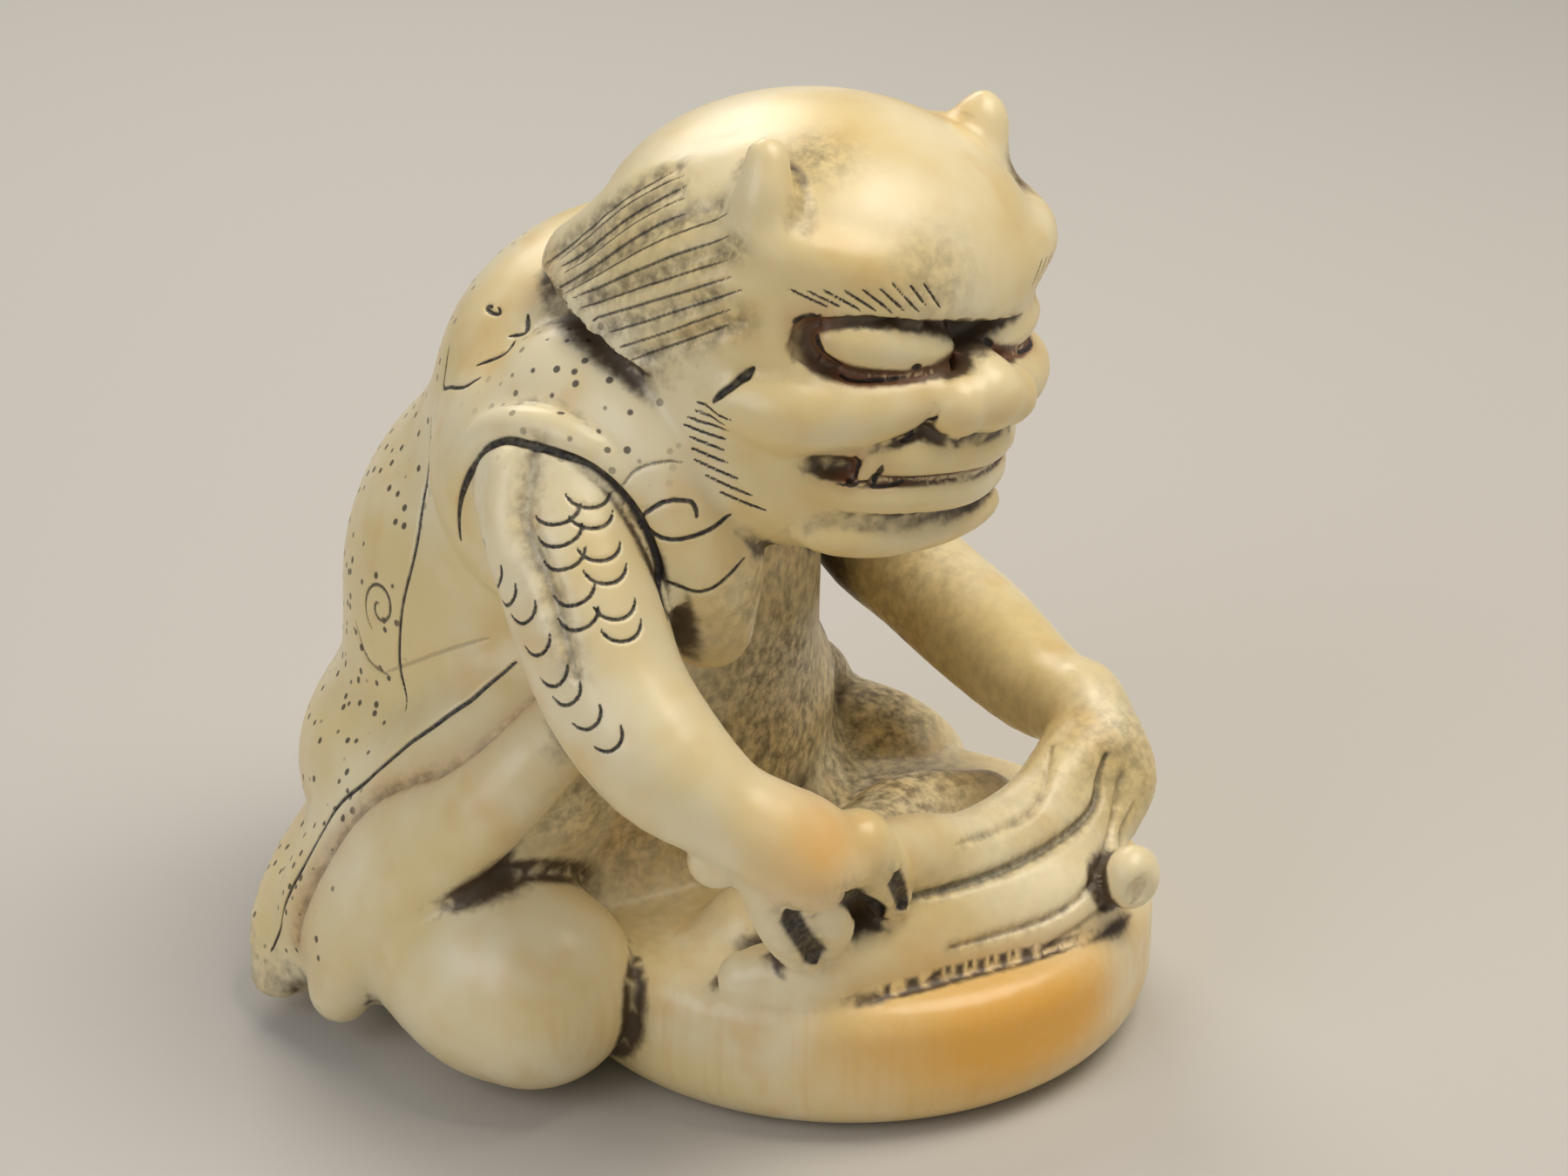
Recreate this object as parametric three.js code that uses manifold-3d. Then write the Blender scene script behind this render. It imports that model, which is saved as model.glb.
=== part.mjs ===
// Netsuke of a kneeling demon washing a cloth over a shallow tub, carved from one block.
// Millimetres. +Z is up, the figure looks toward -Y, its right side is -X, and z = 0 is the ground
// that the flat underside rests on. Every form is one carved mass; all of them are one solid.
import * as THREE from 'three';
import * as BufferGeometryUtils from 'three/addons/utils/BufferGeometryUtils.js';
import Module from 'manifold-3d';

const wasm = await Module();
wasm.setup();
const { Manifold, Mesh } = wasm;

// ---- How finely the forms are faceted: [around, from pole to pole] or [around, along, cap].
const FINE_EGG = [20, 11];
const EGG = [12, 8];
const SMALL_EGG = [8, 6];
const THICK_LIMB = [10, 7, 2];
const LIMB = [8, 6, 2];
const THIN_LIMB = [6, 5, 1];
const LATHE_STEPS = 30;
const EDGE_STEPS = 3;

// ---- Head frame: its middle, and how it is pitched down, rolled and turned (degrees).
const HEAD_MIDDLE = [0, -6.7, 29];
const HEAD_TURN = [12, 8, -4];

// ---- The tub: a plump round slab with a softer lower edge than upper edge.
const TUB = { middle: [1.55, -6.9], radius: 11.8, height: 5.6, lowerRound: 2.4, upperRound: 1.3 };

// ---- The washed cloth: rolls lying over the tub, and folds that fan out of the far fist.
const CLOTH_ROLLS = [
  { line: [[-8.6, -9.9, 6], [-6.4, -12, 6.2], [-2, -13.6, 6.2], [2.2, -15.3, 6.2], [4.8, -15.6, 6.2]],
    half: [1, 1.7, 2.2, 2.3, 2] },
  { line: [[-6.5, -12.6, 7.2], [-2, -13.4, 7.6], [3, -14.3, 7.6], [6.6, -14.8, 8]],
    half: [1.2, 1.7, 1.8, 1.6] },
  { line: [[-6.6, -13.2, 10.8], [-3, -13.2, 9.9], [0, -13.6, 8.9], [4, -13.9, 8.9], [7, -13.8, 10]],
    half: [1.2, 1.4, 1.4, 1.5, 1.6] },
  { line: [[-5, -7.5, 5.6], [0, -8, 5.9], [5, -7, 5.8], [8.4, -8.4, 5.6]],
    half: [1.9, 2, 1.9, 1.5] },
];
const CLOTH_FOLDS = [
  { line: [[8.2, -14.9, 10.8], [6.6, -15.6, 8.6], [3.6, -16.6, 6.6], [0.6, -16.8, 5.8]],
    half: [0.8, 0.9, 0.8, 0.4] },
  { line: [[8, -15.6, 9.4], [6.8, -16.4, 7.6], [4.8, -17.2, 6], [3.2, -17.4, 5.4]],
    half: [0.7, 0.8, 0.7, 0.4] },
];
const KNOB = { middle: [4, -18.1, 7.4], radii: [1.2, 1.1, 1.25] };

// ---- Robe: its rings from the ground up (height, how far back the middle stands, half width, half
// depth), the plain rolled hem on each side, its trailing corners and two sleeves.
const ROBE_RINGS = [
  { z: 0, back: 5.2, wide: 9.5, deep: 7 },
  { z: 1.5, back: 5.2, wide: 12.4, deep: 8.8 },
  { z: 3.5, back: 5.2, wide: 13.8, deep: 9.6 },
  { z: 6, back: 5.3, wide: 13.2, deep: 9.2 },
  { z: 9, back: 5.4, wide: 11.9, deep: 8.9 },
  { z: 13, back: 4.8, wide: 10.2, deep: 8.3 },
  { z: 17, back: 4.5, wide: 10, deep: 8.7 },
  { z: 21, back: 3.8, wide: 9.4, deep: 8.2 },
  { z: 24, back: 2.4, wide: 9, deep: 7.2 },
  { z: 27, back: 1.6, wide: 7.8, deep: 5.8 },
  { z: 29.4, back: 1.5, wide: 4.8, deep: 3.5 },
];
const ROBE_STEPS = { around: 26, up: 13 };
const THIGH_DRAPES = [
  { line: [[-6, -0.2, 14], [-9, 1.8, 10.2], [-10.8, 6, 4.8]], half: [3.6, 4.2, 3.9] },
  { line: [[6.4, 2, 11], [9, 3.2, 8.4], [10.4, 6.4, 4.4]], half: [2.6, 3.6, 3.7] },
];
const HEM_CORNERS = [
  { line: [[-6, 8.2, 4.8], [-9.9, 9.3, 4.2], [-13, 10, 2]], half: [4.6, 3.4, 1.1],
    squash: { along: [-0.35, 0, 0.94], by: 0.62 } },
  { line: [[6, 8.4, 4], [10, 9.6, 3.2], [12.6, 9.8, 1.8]], half: [4.6, 3, 1.1],
    squash: { along: [0.35, 0, 0.94], by: 0.62 } },
];
const HEM_ROLL = {
  line: [[-7.6, -2, 15.8], [-9.8, -2.3, 14.2], [-11.8, -0.9, 12], [-13, 1.6, 8.9], [-13.6, 4, 5.5],
    [-13.8, 5.5, 2.7]],
  half: [1.2, 1.7, 2, 2.1, 2, 1.5],
  squash: { along: [0.9, -0.3, -0.3], by: 0.8 },
};
const FAR_HEM_ROLL = {
  line: [[7.4, 1.4, 12], [10, 1.4, 10.2], [12.2, 3, 7.4], [13, 5, 4.6], [13.2, 6.8, 2.4]],
  half: [1.2, 1.7, 2, 1.9, 1.3],
  squash: { along: [-0.9, -0.3, -0.3], by: 0.8 },
};
const SLEEVE_CAPS = [
  { middle: [-7.4, -0.8, 22.8], radii: [4, 5.6, 5.2], turn: [0, 0, 0] },
  { middle: [7.4, -0.8, 22], radii: [3.8, 5.2, 5], turn: [0, 0, 0] },
];
const LAPELS = [
  { line: [[-5.2, -4.6, 24.4], [-7, -6, 21.2], [-6.4, -6.4, 18]], half: [2.2, 2.6, 1.7] },
  { line: [[5.2, -4.8, 23.4], [6.2, -5.2, 20.5], [5.6, -5.4, 17.6]], half: [2, 2.2, 1.4] },
];

// ---- Knees, arms and hands. Each line runs from the body outward; half is half the thickness.
const NEAR_KNEE = { line: [[-6, 6, 6], [-9.6, 3.2, 5.2], [-11.4, -0.3, 4.6], [-11.6, -2.2, 4.4]],
  half: [4.5, 4.4, 4.2, 3.9] };
const FAR_KNEE = { line: [[6, 6, 5.4], [9.6, 3.4, 4.6], [11.4, 0, 4.1], [11.8, -1.4, 3.9]],
  half: [4.2, 4.1, 4, 3.7] };
const NEAR_ARM = {
  line: [[-9.8, -2.4, 23.6], [-11.1, -4.6, 20.9], [-11.9, -6.7, 18], [-12, -9, 15.9], [-11.3, -11, 14.4],
    [-10.4, -12.4, 13.4]],
  half: [2.9, 2.8, 2.6, 2.4, 1.9, 1.8],
};
const FAR_ARM = {
  line: [[9.2, -0.8, 21.5], [11.6, 1.4, 17], [12.4, 1, 13], [11.8, -2.6, 11.9], [10.9, -6.1, 11.3],
    [9.9, -9.8, 10.7], [8.9, -12.6, 11]],
  half: [2.8, 2.7, 2.7, 2.6, 2.4, 2, 1.6],
};
const NEAR_PALM = { line: [[-10.6, -12.2, 13.6], [-9.4, -13, 12.6], [-8.2, -13.5, 12]], half: [1.9, 2.2, 1.7],
  squash: { along: [0.3, -0.8, 0.5], by: 0.8 } };
const NEAR_FINGERS = [
  { line: [[-10.2, -12.4, 11.9], [-9.3, -12.5, 9.4], [-7.4, -11.9, 6.7]], half: [1.35, 1.15, 0.6] },
  { line: [[-8.6, -13.4, 11.8], [-8, -13.3, 9.3], [-7.1, -12.6, 7.3]], half: [1.2, 0.95, 0.5] },
  { line: [[-7, -13.8, 12], [-5.8, -13.9, 10.2], [-4.7, -13.8, 8.4]], half: [1.35, 1.1, 0.55] },
];
const WRIST_KNOB = { middle: [-11.3, -10.9, 12.3], radii: [1.1, 1.1, 1] };
const FAR_FIST = { line: [[8.9, -12.4, 11.1], [8.3, -14.1, 10.4], [8.1, -15.1, 9], [7.7, -15.1, 7.4]],
  half: [1.7, 1.45, 1.3, 0.9], squash: { along: [1, 0, 0], by: 1.1 } };

// ---- Head masses. The skull stands in the shared frame; everything else is in the head frame.
const SKULL = { middle: [0.2, -6.5, 30.9], radii: [8.4, 8, 5.7], turn: [0, 6, 0] };
const FACE = { foot: [0, 0, -7.2], radii: [8.3, 7.5], height: 8.9, lowerRound: 2.8, upperRound: 1.6 };
const BROW = { line: [[-7, -1.9, 3.8], [-6, -3.5, 3.8], [-4.4, -4.7, 3.75], [-2.3, -5.4, 3.6], [0, -5.6, 3.5]],
  half: [0.8, 1.1, 1.2, 1.2, 1.15] };
const SOCKET = { middle: [-4.2, -6.5, 1.6], radii: [3, 1.2, 1.25], turn: [0, 0, -28] };
const EYE = { middle: [-4.1, -5.75, 1.45], radii: [2.5, 1.15, 1], turn: [0, 0, -28] };
const NOSE_BRIDGE = { line: [[0, -6.9, 1.9], [0, -7.7, 0.3]], half: [0.8, 1.2] };
const NOSE_TIP = { middle: [0, -8.1, -0.3], radii: [1.9, 1.25, 1.15] };
const NOSTRIL = { middle: [-1.5, -7.9, -0.7], radii: [1.25, 1.15, 1.05] };
const CHEEK = { line: [[-7.3, -1.9, -0.9], [-6.5, -4.2, -1.3], [-4.9, -5.7, -1.5], [-3.2, -6.6, -1.2], [-1.6, -7.2, -0.8]],
  half: [1.3, 1.5, 1.35, 1, 0.7] };
const UPPER_LIP = { middle: [0, -6.7, -2.7], radii: [4, 1.9, 0.85] };
const MOUTH = { line: [[-6.6, -5.2, -3], [-4.6, -6.9, -3.1], [-2.4, -8.1, -3.4], [0, -8.5, -3.5]],
  half: [0.45, 0.6, 0.35, 0.3] };
const LOWER_LIP = { line: [[-5.6, -5.4, -4.2], [-3, -7, -4.4], [0, -7.5, -4.5]], half: [0.6, 0.8, 0.85] };
const CHIN = { middle: [0, -5.9, -6.2], radii: [5.2, 1.8, 1.1] };
const FANG = { middle: [-3.7, -7, -3.1], radii: [0.35, 0.35, 0.62] };
const HORNS = [
  { line: [[-5.3, -7.6, 33.6], [-5.3, -8, 35.2], [-5.25, -8.1, 36]], half: [2.1, 1.2, 0.7] },
  { line: [[6.3, -8.2, 32.8], [6.9, -8.7, 34.4], [7, -8.8, 35]], half: [2.1, 1.2, 0.7] },
];

// ---- Swept-back hair: a mass over the nape and a flank on each side, ridged lengthwise into locks.
const NAPE_HAIR = { middle: [0, -0.4, 28.5], radii: [8.2, 6.6, 3.4], turn: [-30, 0, 0] };
const FLANK_HAIR = { middle: [-5.8, -2.8, 30], radii: [3, 5.8, 2.5], turn: [-20, 0, 10] };
const LOCKS = { nape: 12, flank: 8, relief: 0.055, rings: 7 };

// ---- Cord channel under the skirt: two mouths on the underside and the back, joined inside.
const CORD_CHANNEL = { line: [[2.2, 7, -2], [2.2, 7.6, 2], [0.6, 11, 5.2], [-1.2, 17, 6.6]], half: [1.5, 1.4, 1.3, 1.4] };

// ---- The flat foot: everything under the ground is ground away.
const GROUND = { span: 80, depth: 20 };

const IVORY = { color: '#e7d7ae', roughness: 0.34, metalness: 0 };
const MIRROR = new THREE.Matrix4().makeScale(-1, 1, 1);

// A turn in degrees about x, then y, then z.
function turned([x, y, z]) {
  const euler = new THREE.Euler(
    THREE.MathUtils.degToRad(x),
    THREE.MathUtils.degToRad(y),
    THREE.MathUtils.degToRad(z),
    'ZYX',
  );
  return new THREE.Matrix4().makeRotationFromEuler(euler);
}

// A closed solid from a geometry: merged corners, and no triangle that has lost its area.
function solid(geometry) {
  const plain = geometry.index ? geometry.clone() : geometry;
  plain.deleteAttribute('normal');
  plain.deleteAttribute('uv');
  const merged = BufferGeometryUtils.mergeVertices(plain, 1e-4);
  const index = merged.index.array;
  const kept = [];
  for (let corner = 0; corner < index.length; corner += 3) {
    const [a, b, c] = index.subarray(corner, corner + 3);
    if (a !== b && b !== c && c !== a) kept.push(a, b, c);
  }
  const vertProperties = new Float32Array(merged.attributes.position.array);
  return new Manifold(new Mesh({ numProp: 3, vertProperties, triVerts: new Uint32Array(kept) }));
}

// The same geometry seen in the mirror plane x = 0, with its triangles wound outward again.
function mirrored(geometry) {
  const copy = geometry.clone().applyMatrix4(MIRROR);
  const index = copy.index.array;
  for (let corner = 0; corner < index.length; corner += 3) {
    [index[corner], index[corner + 1]] = [index[corner + 1], index[corner]];
  }
  return copy;
}

// An egg: a unit ball scaled to its three half-sizes, turned and carried to its middle.
function egg({ middle, radii, turn = [0, 0, 0] }, [around, poles] = EGG) {
  const geometry = new THREE.SphereGeometry(1, around, poles);
  geometry.rotateX(Math.PI / 2);
  geometry.scale(...radii);
  geometry.applyMatrix4(turned(turn));
  return geometry.translate(...middle);
}

// A tapering limb: a round-ended rod bent along a smooth line, half as thick as the sizes given
// along it, and flattened across one direction where a squash is stated.
function limb({ line, half, squash }, [around, along, cap] = LIMB) {
  const path = new THREE.CatmullRomCurve3(line.map((point) => new THREE.Vector3(...point)), false, 'catmullrom');
  const sizes = new THREE.CatmullRomCurve3(half.map((size) => new THREE.Vector3(size, 0, 0)), false, 'catmullrom');
  const frames = path.computeFrenetFrames(along, false);
  const flat = squash ? new THREE.Vector3(...squash.along).normalize() : null;
  const geometry = new THREE.CapsuleGeometry(1, 1, cap, around, along);
  const place = geometry.attributes.position;
  const vertex = new THREE.Vector3();
  const offset = new THREE.Vector3();
  for (let i = 0; i < place.count; i += 1) {
    vertex.fromBufferAttribute(place, i);
    const share = THREE.MathUtils.clamp(vertex.y + 0.5, 0, 1);
    const ring = Math.round(share * along);
    const station = path.getUtoTmapping(ring / along);
    const size = sizes.getPoint(station).x;
    const beyond = Math.max(Math.abs(vertex.y) - 0.5, 0) * Math.sign(vertex.y);
    offset.copy(frames.binormals[ring]).multiplyScalar(vertex.x * size);
    offset.addScaledVector(frames.tangents[ring], beyond * size);
    offset.addScaledVector(frames.normals[ring], vertex.z * size);
    if (flat) offset.addScaledVector(flat, (squash.by - 1) * offset.dot(flat));
    vertex.copy(path.getPoint(station)).add(offset);
    place.setXYZ(i, vertex.x, vertex.y, vertex.z);
  }
  return geometry;
}

// Both halves of a line that is given from one side to the middle plane.
function across({ line, half }) {
  const back = line.slice(0, -1).reverse().map(([x, y, z]) => [-x, y, z]);
  return { line: [...line, ...back], half: [...half, ...half.slice(0, -1).reverse()] };
}

// A round slab standing on its foot, its two edges rounded by quarter circles.
function slab(radius, height, lowerRound, upperRound) {
  const profile = [new THREE.Vector2(0, 0)];
  for (let step = 0; step <= EDGE_STEPS; step += 1) {
    const angle = (Math.PI / 2) * (step / EDGE_STEPS);
    const x = radius - lowerRound + lowerRound * Math.sin(angle);
    profile.push(new THREE.Vector2(x, lowerRound - lowerRound * Math.cos(angle)));
  }
  for (let step = 0; step <= EDGE_STEPS; step += 1) {
    const angle = (Math.PI / 2) * (step / EDGE_STEPS);
    const x = radius - upperRound + upperRound * Math.cos(angle);
    profile.push(new THREE.Vector2(x, height - upperRound + upperRound * Math.sin(angle)));
  }
  profile.push(new THREE.Vector2(0, height));
  return new THREE.LatheGeometry(profile, LATHE_STEPS).rotateX(Math.PI / 2);
}

// Carries a geometry from the head frame to the shared frame.
function onHead(geometry) {
  return geometry.applyMatrix4(turned(HEAD_TURN)).translate(...HEAD_MIDDLE);
}

// A head form with its twin on the other side of the face.
function pairOnHead(make, form, detail) {
  return [onHead(make(form, detail)), onHead(mirrored(make(form, detail)))];
}

// Every geometry of a list joined to one body.
function joined(geometries) {
  return geometries.map(solid).reduce((body, piece) => body.add(piece));
}

function tub() {
  const body = slab(TUB.radius, TUB.height, TUB.lowerRound, TUB.upperRound);
  return body.translate(...TUB.middle, 0);
}

function cloth() {
  const rolls = CLOTH_ROLLS.map((form) => limb(form, LIMB));
  const folds = CLOTH_FOLDS.map((form) => limb(form, THIN_LIMB));
  return [...rolls, ...folds, egg(KNOB, SMALL_EGG)];
}

// The robe's trunk: a closed turning whose rings are flattened and carried back by their sizes.
function trunk() {
  const middles = new THREE.CatmullRomCurve3(ROBE_RINGS.map((ring) => new THREE.Vector3(0, ring.back, ring.z)));
  const sizes = new THREE.CatmullRomCurve3(ROBE_RINGS.map((ring) => new THREE.Vector3(ring.wide, ring.deep, 0)));
  middles.curveType = 'catmullrom';
  sizes.curveType = 'catmullrom';
  const profile = [new THREE.Vector2(0, 0)];
  for (let step = 0; step <= ROBE_STEPS.up; step += 1) profile.push(new THREE.Vector2(1, step));
  profile.push(new THREE.Vector2(0, ROBE_STEPS.up));
  const geometry = new THREE.LatheGeometry(profile, ROBE_STEPS.around).rotateX(Math.PI / 2);
  const place = geometry.attributes.position;
  for (let i = 0; i < place.count; i += 1) {
    const share = THREE.MathUtils.clamp(place.getZ(i) / ROBE_STEPS.up, 0, 1);
    const middle = middles.getPoint(share);
    const size = sizes.getPoint(share);
    place.setXYZ(i, place.getX(i) * size.x, place.getY(i) * size.y + middle.y, middle.z);
  }
  return geometry;
}

function robe() {
  const caps = SLEEVE_CAPS.map((form) => egg(form, EGG));
  const lapels = LAPELS.map((form) => limb(form, LIMB));
  const hems = [limb(HEM_ROLL, THICK_LIMB), limb(FAR_HEM_ROLL, THICK_LIMB)];
  const drapes = [...THIGH_DRAPES, ...HEM_CORNERS].map((form) => limb(form, LIMB));
  return [trunk(), ...caps, ...lapels, ...hems, ...drapes];
}

function limbs() {
  const thick = [NEAR_KNEE, FAR_KNEE, NEAR_ARM, FAR_ARM].map((form) => limb(form, THICK_LIMB));
  const hands = [limb(NEAR_PALM, LIMB), limb(FAR_FIST, LIMB), egg(WRIST_KNOB, SMALL_EGG)];
  const fingers = NEAR_FINGERS.map((form) => limb(form, THIN_LIMB));
  return [...thick, ...hands, ...fingers];
}

// A mass of hair: an egg with its poles fore and aft, whose half-size swells and sinks by a cosine of
// the angle around it, one crest to a lock.
function tresses({ middle, radii, turn }, count) {
  const geometry = new THREE.SphereGeometry(1, 2 * count, LOCKS.rings);
  const place = geometry.attributes.position;
  for (let i = 0; i < place.count; i += 1) {
    const angle = Math.atan2(place.getZ(i), place.getX(i));
    const swell = 1 + LOCKS.relief * Math.cos(count * angle);
    place.setXYZ(i, place.getX(i) * swell, place.getY(i), place.getZ(i) * swell);
  }
  return geometry.scale(...radii).applyMatrix4(turned(turn)).translate(...middle);
}

function hair() {
  const flank = tresses(FLANK_HAIR, LOCKS.flank);
  return [tresses(NAPE_HAIR, LOCKS.nape), flank, mirrored(flank)];
}

// The head: skull and face barrel, eye sockets sunk under the brow, then the features laid on.
function head() {
  const barrel = slab(FACE.radii[0], FACE.height, FACE.lowerRound, FACE.upperRound);
  barrel.scale(1, FACE.radii[1] / FACE.radii[0], 1).translate(...FACE.foot);
  const mass = joined([egg(SKULL, FINE_EGG), onHead(barrel), onHead(limb(across(BROW), THICK_LIMB))]);
  const hollowed = mass.subtract(joined(pairOnHead(egg, SOCKET, EGG)));
  const features = [
    ...pairOnHead(egg, EYE, EGG),
    ...pairOnHead(egg, NOSTRIL, SMALL_EGG),
    ...pairOnHead(limb, CHEEK, LIMB),
    onHead(limb(NOSE_BRIDGE, THIN_LIMB)),
    onHead(egg(NOSE_TIP, SMALL_EGG)),
    onHead(egg(UPPER_LIP, EGG)),
  ];
  const mouthless = hollowed.add(joined(features));
  const open = mouthless.subtract(solid(onHead(limb(across(MOUTH), THIN_LIMB))));
  const lips = [
    onHead(limb(across(LOWER_LIP), LIMB)),
    onHead(egg(CHIN, EGG)),
    ...pairOnHead(egg, FANG, SMALL_EGG),
    ...HORNS.map((form) => limb(form, LIMB)),
    ...hair(),
  ];
  return open.add(joined(lips));
}

function ground() {
  const block = new THREE.BoxGeometry(GROUND.span, GROUND.span, GROUND.depth);
  return solid(block.translate(0, 0, -GROUND.depth / 2));
}

function netsuke() {
  const body = joined([tub(), ...cloth(), ...robe(), ...limbs()]).add(head());
  const carved = body.subtract(ground()).subtract(solid(limb(CORD_CHANNEL, LIMB)));
  const mesh = carved.getMesh();
  const geometry = new THREE.BufferGeometry();
  geometry.setAttribute('position', new THREE.BufferAttribute(mesh.vertProperties, mesh.numProp));
  geometry.setIndex(new THREE.BufferAttribute(mesh.triVerts, 1));
  geometry.computeVertexNormals();
  const part = new THREE.Mesh(geometry, new THREE.MeshStandardMaterial(IVORY));
  part.name = 'netsuke';
  return part;
}

const model = new THREE.Group();
model.name = 'demon_netsuke';
model.add(netsuke());

export default model;
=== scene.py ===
import math

import bpy
import numpy as np
from mathutils import Matrix, Vector


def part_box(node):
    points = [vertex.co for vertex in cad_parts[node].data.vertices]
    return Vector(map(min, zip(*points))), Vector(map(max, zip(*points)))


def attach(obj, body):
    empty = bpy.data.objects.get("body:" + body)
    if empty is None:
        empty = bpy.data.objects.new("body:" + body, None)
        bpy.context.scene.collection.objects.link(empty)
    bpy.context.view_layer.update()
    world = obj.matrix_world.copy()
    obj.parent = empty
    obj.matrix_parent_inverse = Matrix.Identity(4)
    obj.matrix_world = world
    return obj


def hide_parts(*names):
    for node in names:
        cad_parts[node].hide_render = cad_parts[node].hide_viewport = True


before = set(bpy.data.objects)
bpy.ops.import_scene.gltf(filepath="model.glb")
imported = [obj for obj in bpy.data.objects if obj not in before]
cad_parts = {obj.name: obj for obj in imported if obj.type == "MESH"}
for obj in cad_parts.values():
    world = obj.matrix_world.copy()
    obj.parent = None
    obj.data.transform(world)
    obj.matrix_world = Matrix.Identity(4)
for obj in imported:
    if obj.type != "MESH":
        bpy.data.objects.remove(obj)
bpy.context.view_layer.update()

# The figure is one carved solid, so its visual piece is one closed skin. The forms are summed as
# depths below the surface (in mm, minus inside), the skin is lifted off that sum, and the knife
# work is pressed into it along drawn lines.
mm = 0.001
single = np.float32
skin = {"grid": 0.4, "quickGrid": 0.44, "finest": 0.08, "grading": 0.9, "rounds": 4, "mostTriangles": 195000}

# The head is carved in its own upright frame, then pitched forward, tipped and turned.
headFrame = {"centre": (0, -6.7, 29.0), "turn": (12, 8, -3)}


# ---- turning, curves and blends ---------------------------------------------------------------

def turnMatrix(aboutX, aboutY, aboutZ):
    # Rotation about X, then Y, then Z, in degrees: the product of the three plane rotations.
    cosX, cosY, cosZ = (math.cos(math.radians(angle)) for angle in (aboutX, aboutY, aboutZ))
    sinX, sinY, sinZ = (math.sin(math.radians(angle)) for angle in (aboutX, aboutY, aboutZ))
    roundX = np.array([[1, 0, 0], [0, cosX, -sinX], [0, sinX, cosX]])
    roundY = np.array([[cosY, 0, sinY], [0, 1, 0], [-sinY, 0, cosY]])
    roundZ = np.array([[cosZ, -sinZ, 0], [sinZ, cosZ, 0], [0, 0, 1]])
    return roundZ @ roundY @ roundX


headTurn = turnMatrix(*headFrame["turn"])


def toHead(points):
    # Points of the head's own frame, turned and moved to the figure's frame.
    return np.asarray(points, float) @ headTurn.T + np.array(headFrame["centre"])


def curveThrough(points, count):
    # Catmull-Rom curve: on each span a cubic whose slope at a point is half the step between its
    # neighbours; the ends are carried on in a straight line.
    points = np.asarray(points, float)
    last = len(points) - 1
    along = np.linspace(0, last, count)
    span = np.clip(along.astype(int), 0, last - 1)
    part = (along - span)[:, None]
    padded = np.vstack([2 * points[0] - points[1], points, 2 * points[-1] - points[-2]])
    before, start, end, after = (padded[span + step] for step in range(4))
    return 0.5 * (2 * start + (end - before) * part + (2 * before - 5 * start + 4 * end - after) * part ** 2
                  + (3 * start - before - 3 * end + after) * part ** 3)


def softLow(first, second, blend):
    # The lower of two depths, rounded off by a parabola where they differ by less than blend.
    share = np.clip(0.5 + 0.5 * (second - first) / blend, 0, 1)
    return second + (first - second) * share - blend * share * (1 - share)


def softHigh(first, second, blend):
    return -softLow(-first, -second, blend)


# ---- forms ------------------------------------------------------------------------------------

def egg(centre, radii, turn=(0, 0, 0), onHead=False):
    # Ellipsoid: with a point scaled by the radii to length k, depth is k (k - 1) over the length
    # of the point scaled by the squared radii.
    frameTurn = turnMatrix(*turn)
    centre = np.array(centre, float)
    if onHead:
        centre = toHead(centre)
        frameTurn = headTurn @ frameTurn
    radii = np.array(radii, float)
    reach = np.sqrt(((frameTurn * radii) ** 2).sum(1))
    turnBack, middle, size = frameTurn.astype(single), centre.astype(single), radii.astype(single)

    def depth(points):
        scaled = ((points - middle) @ turnBack) / size
        once = np.sqrt((scaled ** 2).sum(1))
        twice = np.sqrt(((scaled / size) ** 2).sum(1)) + single(1e-9)
        return once * (once - 1) / twice
    return {"low": centre - reach, "high": centre + reach, "depth": depth}


def limb(points, radii, onHead=False, flat=None):
    # Tapered tube: distance to the nearest straight span of the curve, less the radius there.
    # flat = (direction, share) squashes the tube along a direction to that share.
    points = np.array(points, float)
    if onHead:
        points = toHead(points)
    count = 4 * (len(points) - 1) + 1
    widths = np.broadcast_to(np.array(radii, float), (len(points),))
    path = curveThrough(np.column_stack([points, widths]), count)
    low = (path[:, :3] - path[:, 3:]).min(0)
    high = (path[:, :3] + path[:, 3:]).max(0)
    squash, least = None, 1.0
    if flat is not None:
        direction = np.array(flat[0], float)
        if onHead:
            direction = headTurn @ direction
        direction /= np.linalg.norm(direction)
        squash = np.eye(3) + (1 / flat[1] - 1) * np.outer(direction, direction)
        least = min(flat[1], 1.0)
        spare = max(flat[1] - 1, 0) * 3
        low, high = low - spare, high + spare
        path = np.column_stack([path[:, :3] @ squash.T, path[:, 3]])
        squash = squash.T.astype(single)
    spans = [(start[:3].astype(single), (end - start)[:3], start[3], end[3] - start[3])
             for start, end in zip(path[:-1], path[1:])]

    def depth(points):
        if squash is not None:
            points = points @ squash
        nearest = np.full(len(points), 1e9, single)
        for start, step, width, growth in spans:
            away = points - start
            part = np.clip(away @ (step / max(step @ step, 1e-12)).astype(single), 0, 1)
            away = away - part[:, None] * step.astype(single)
            nearest = np.minimum(nearest, np.sqrt((away ** 2).sum(1)) - single(width) - part * single(growth))
        return nearest * single(least)
    return {"low": low, "high": high, "depth": depth}


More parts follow.
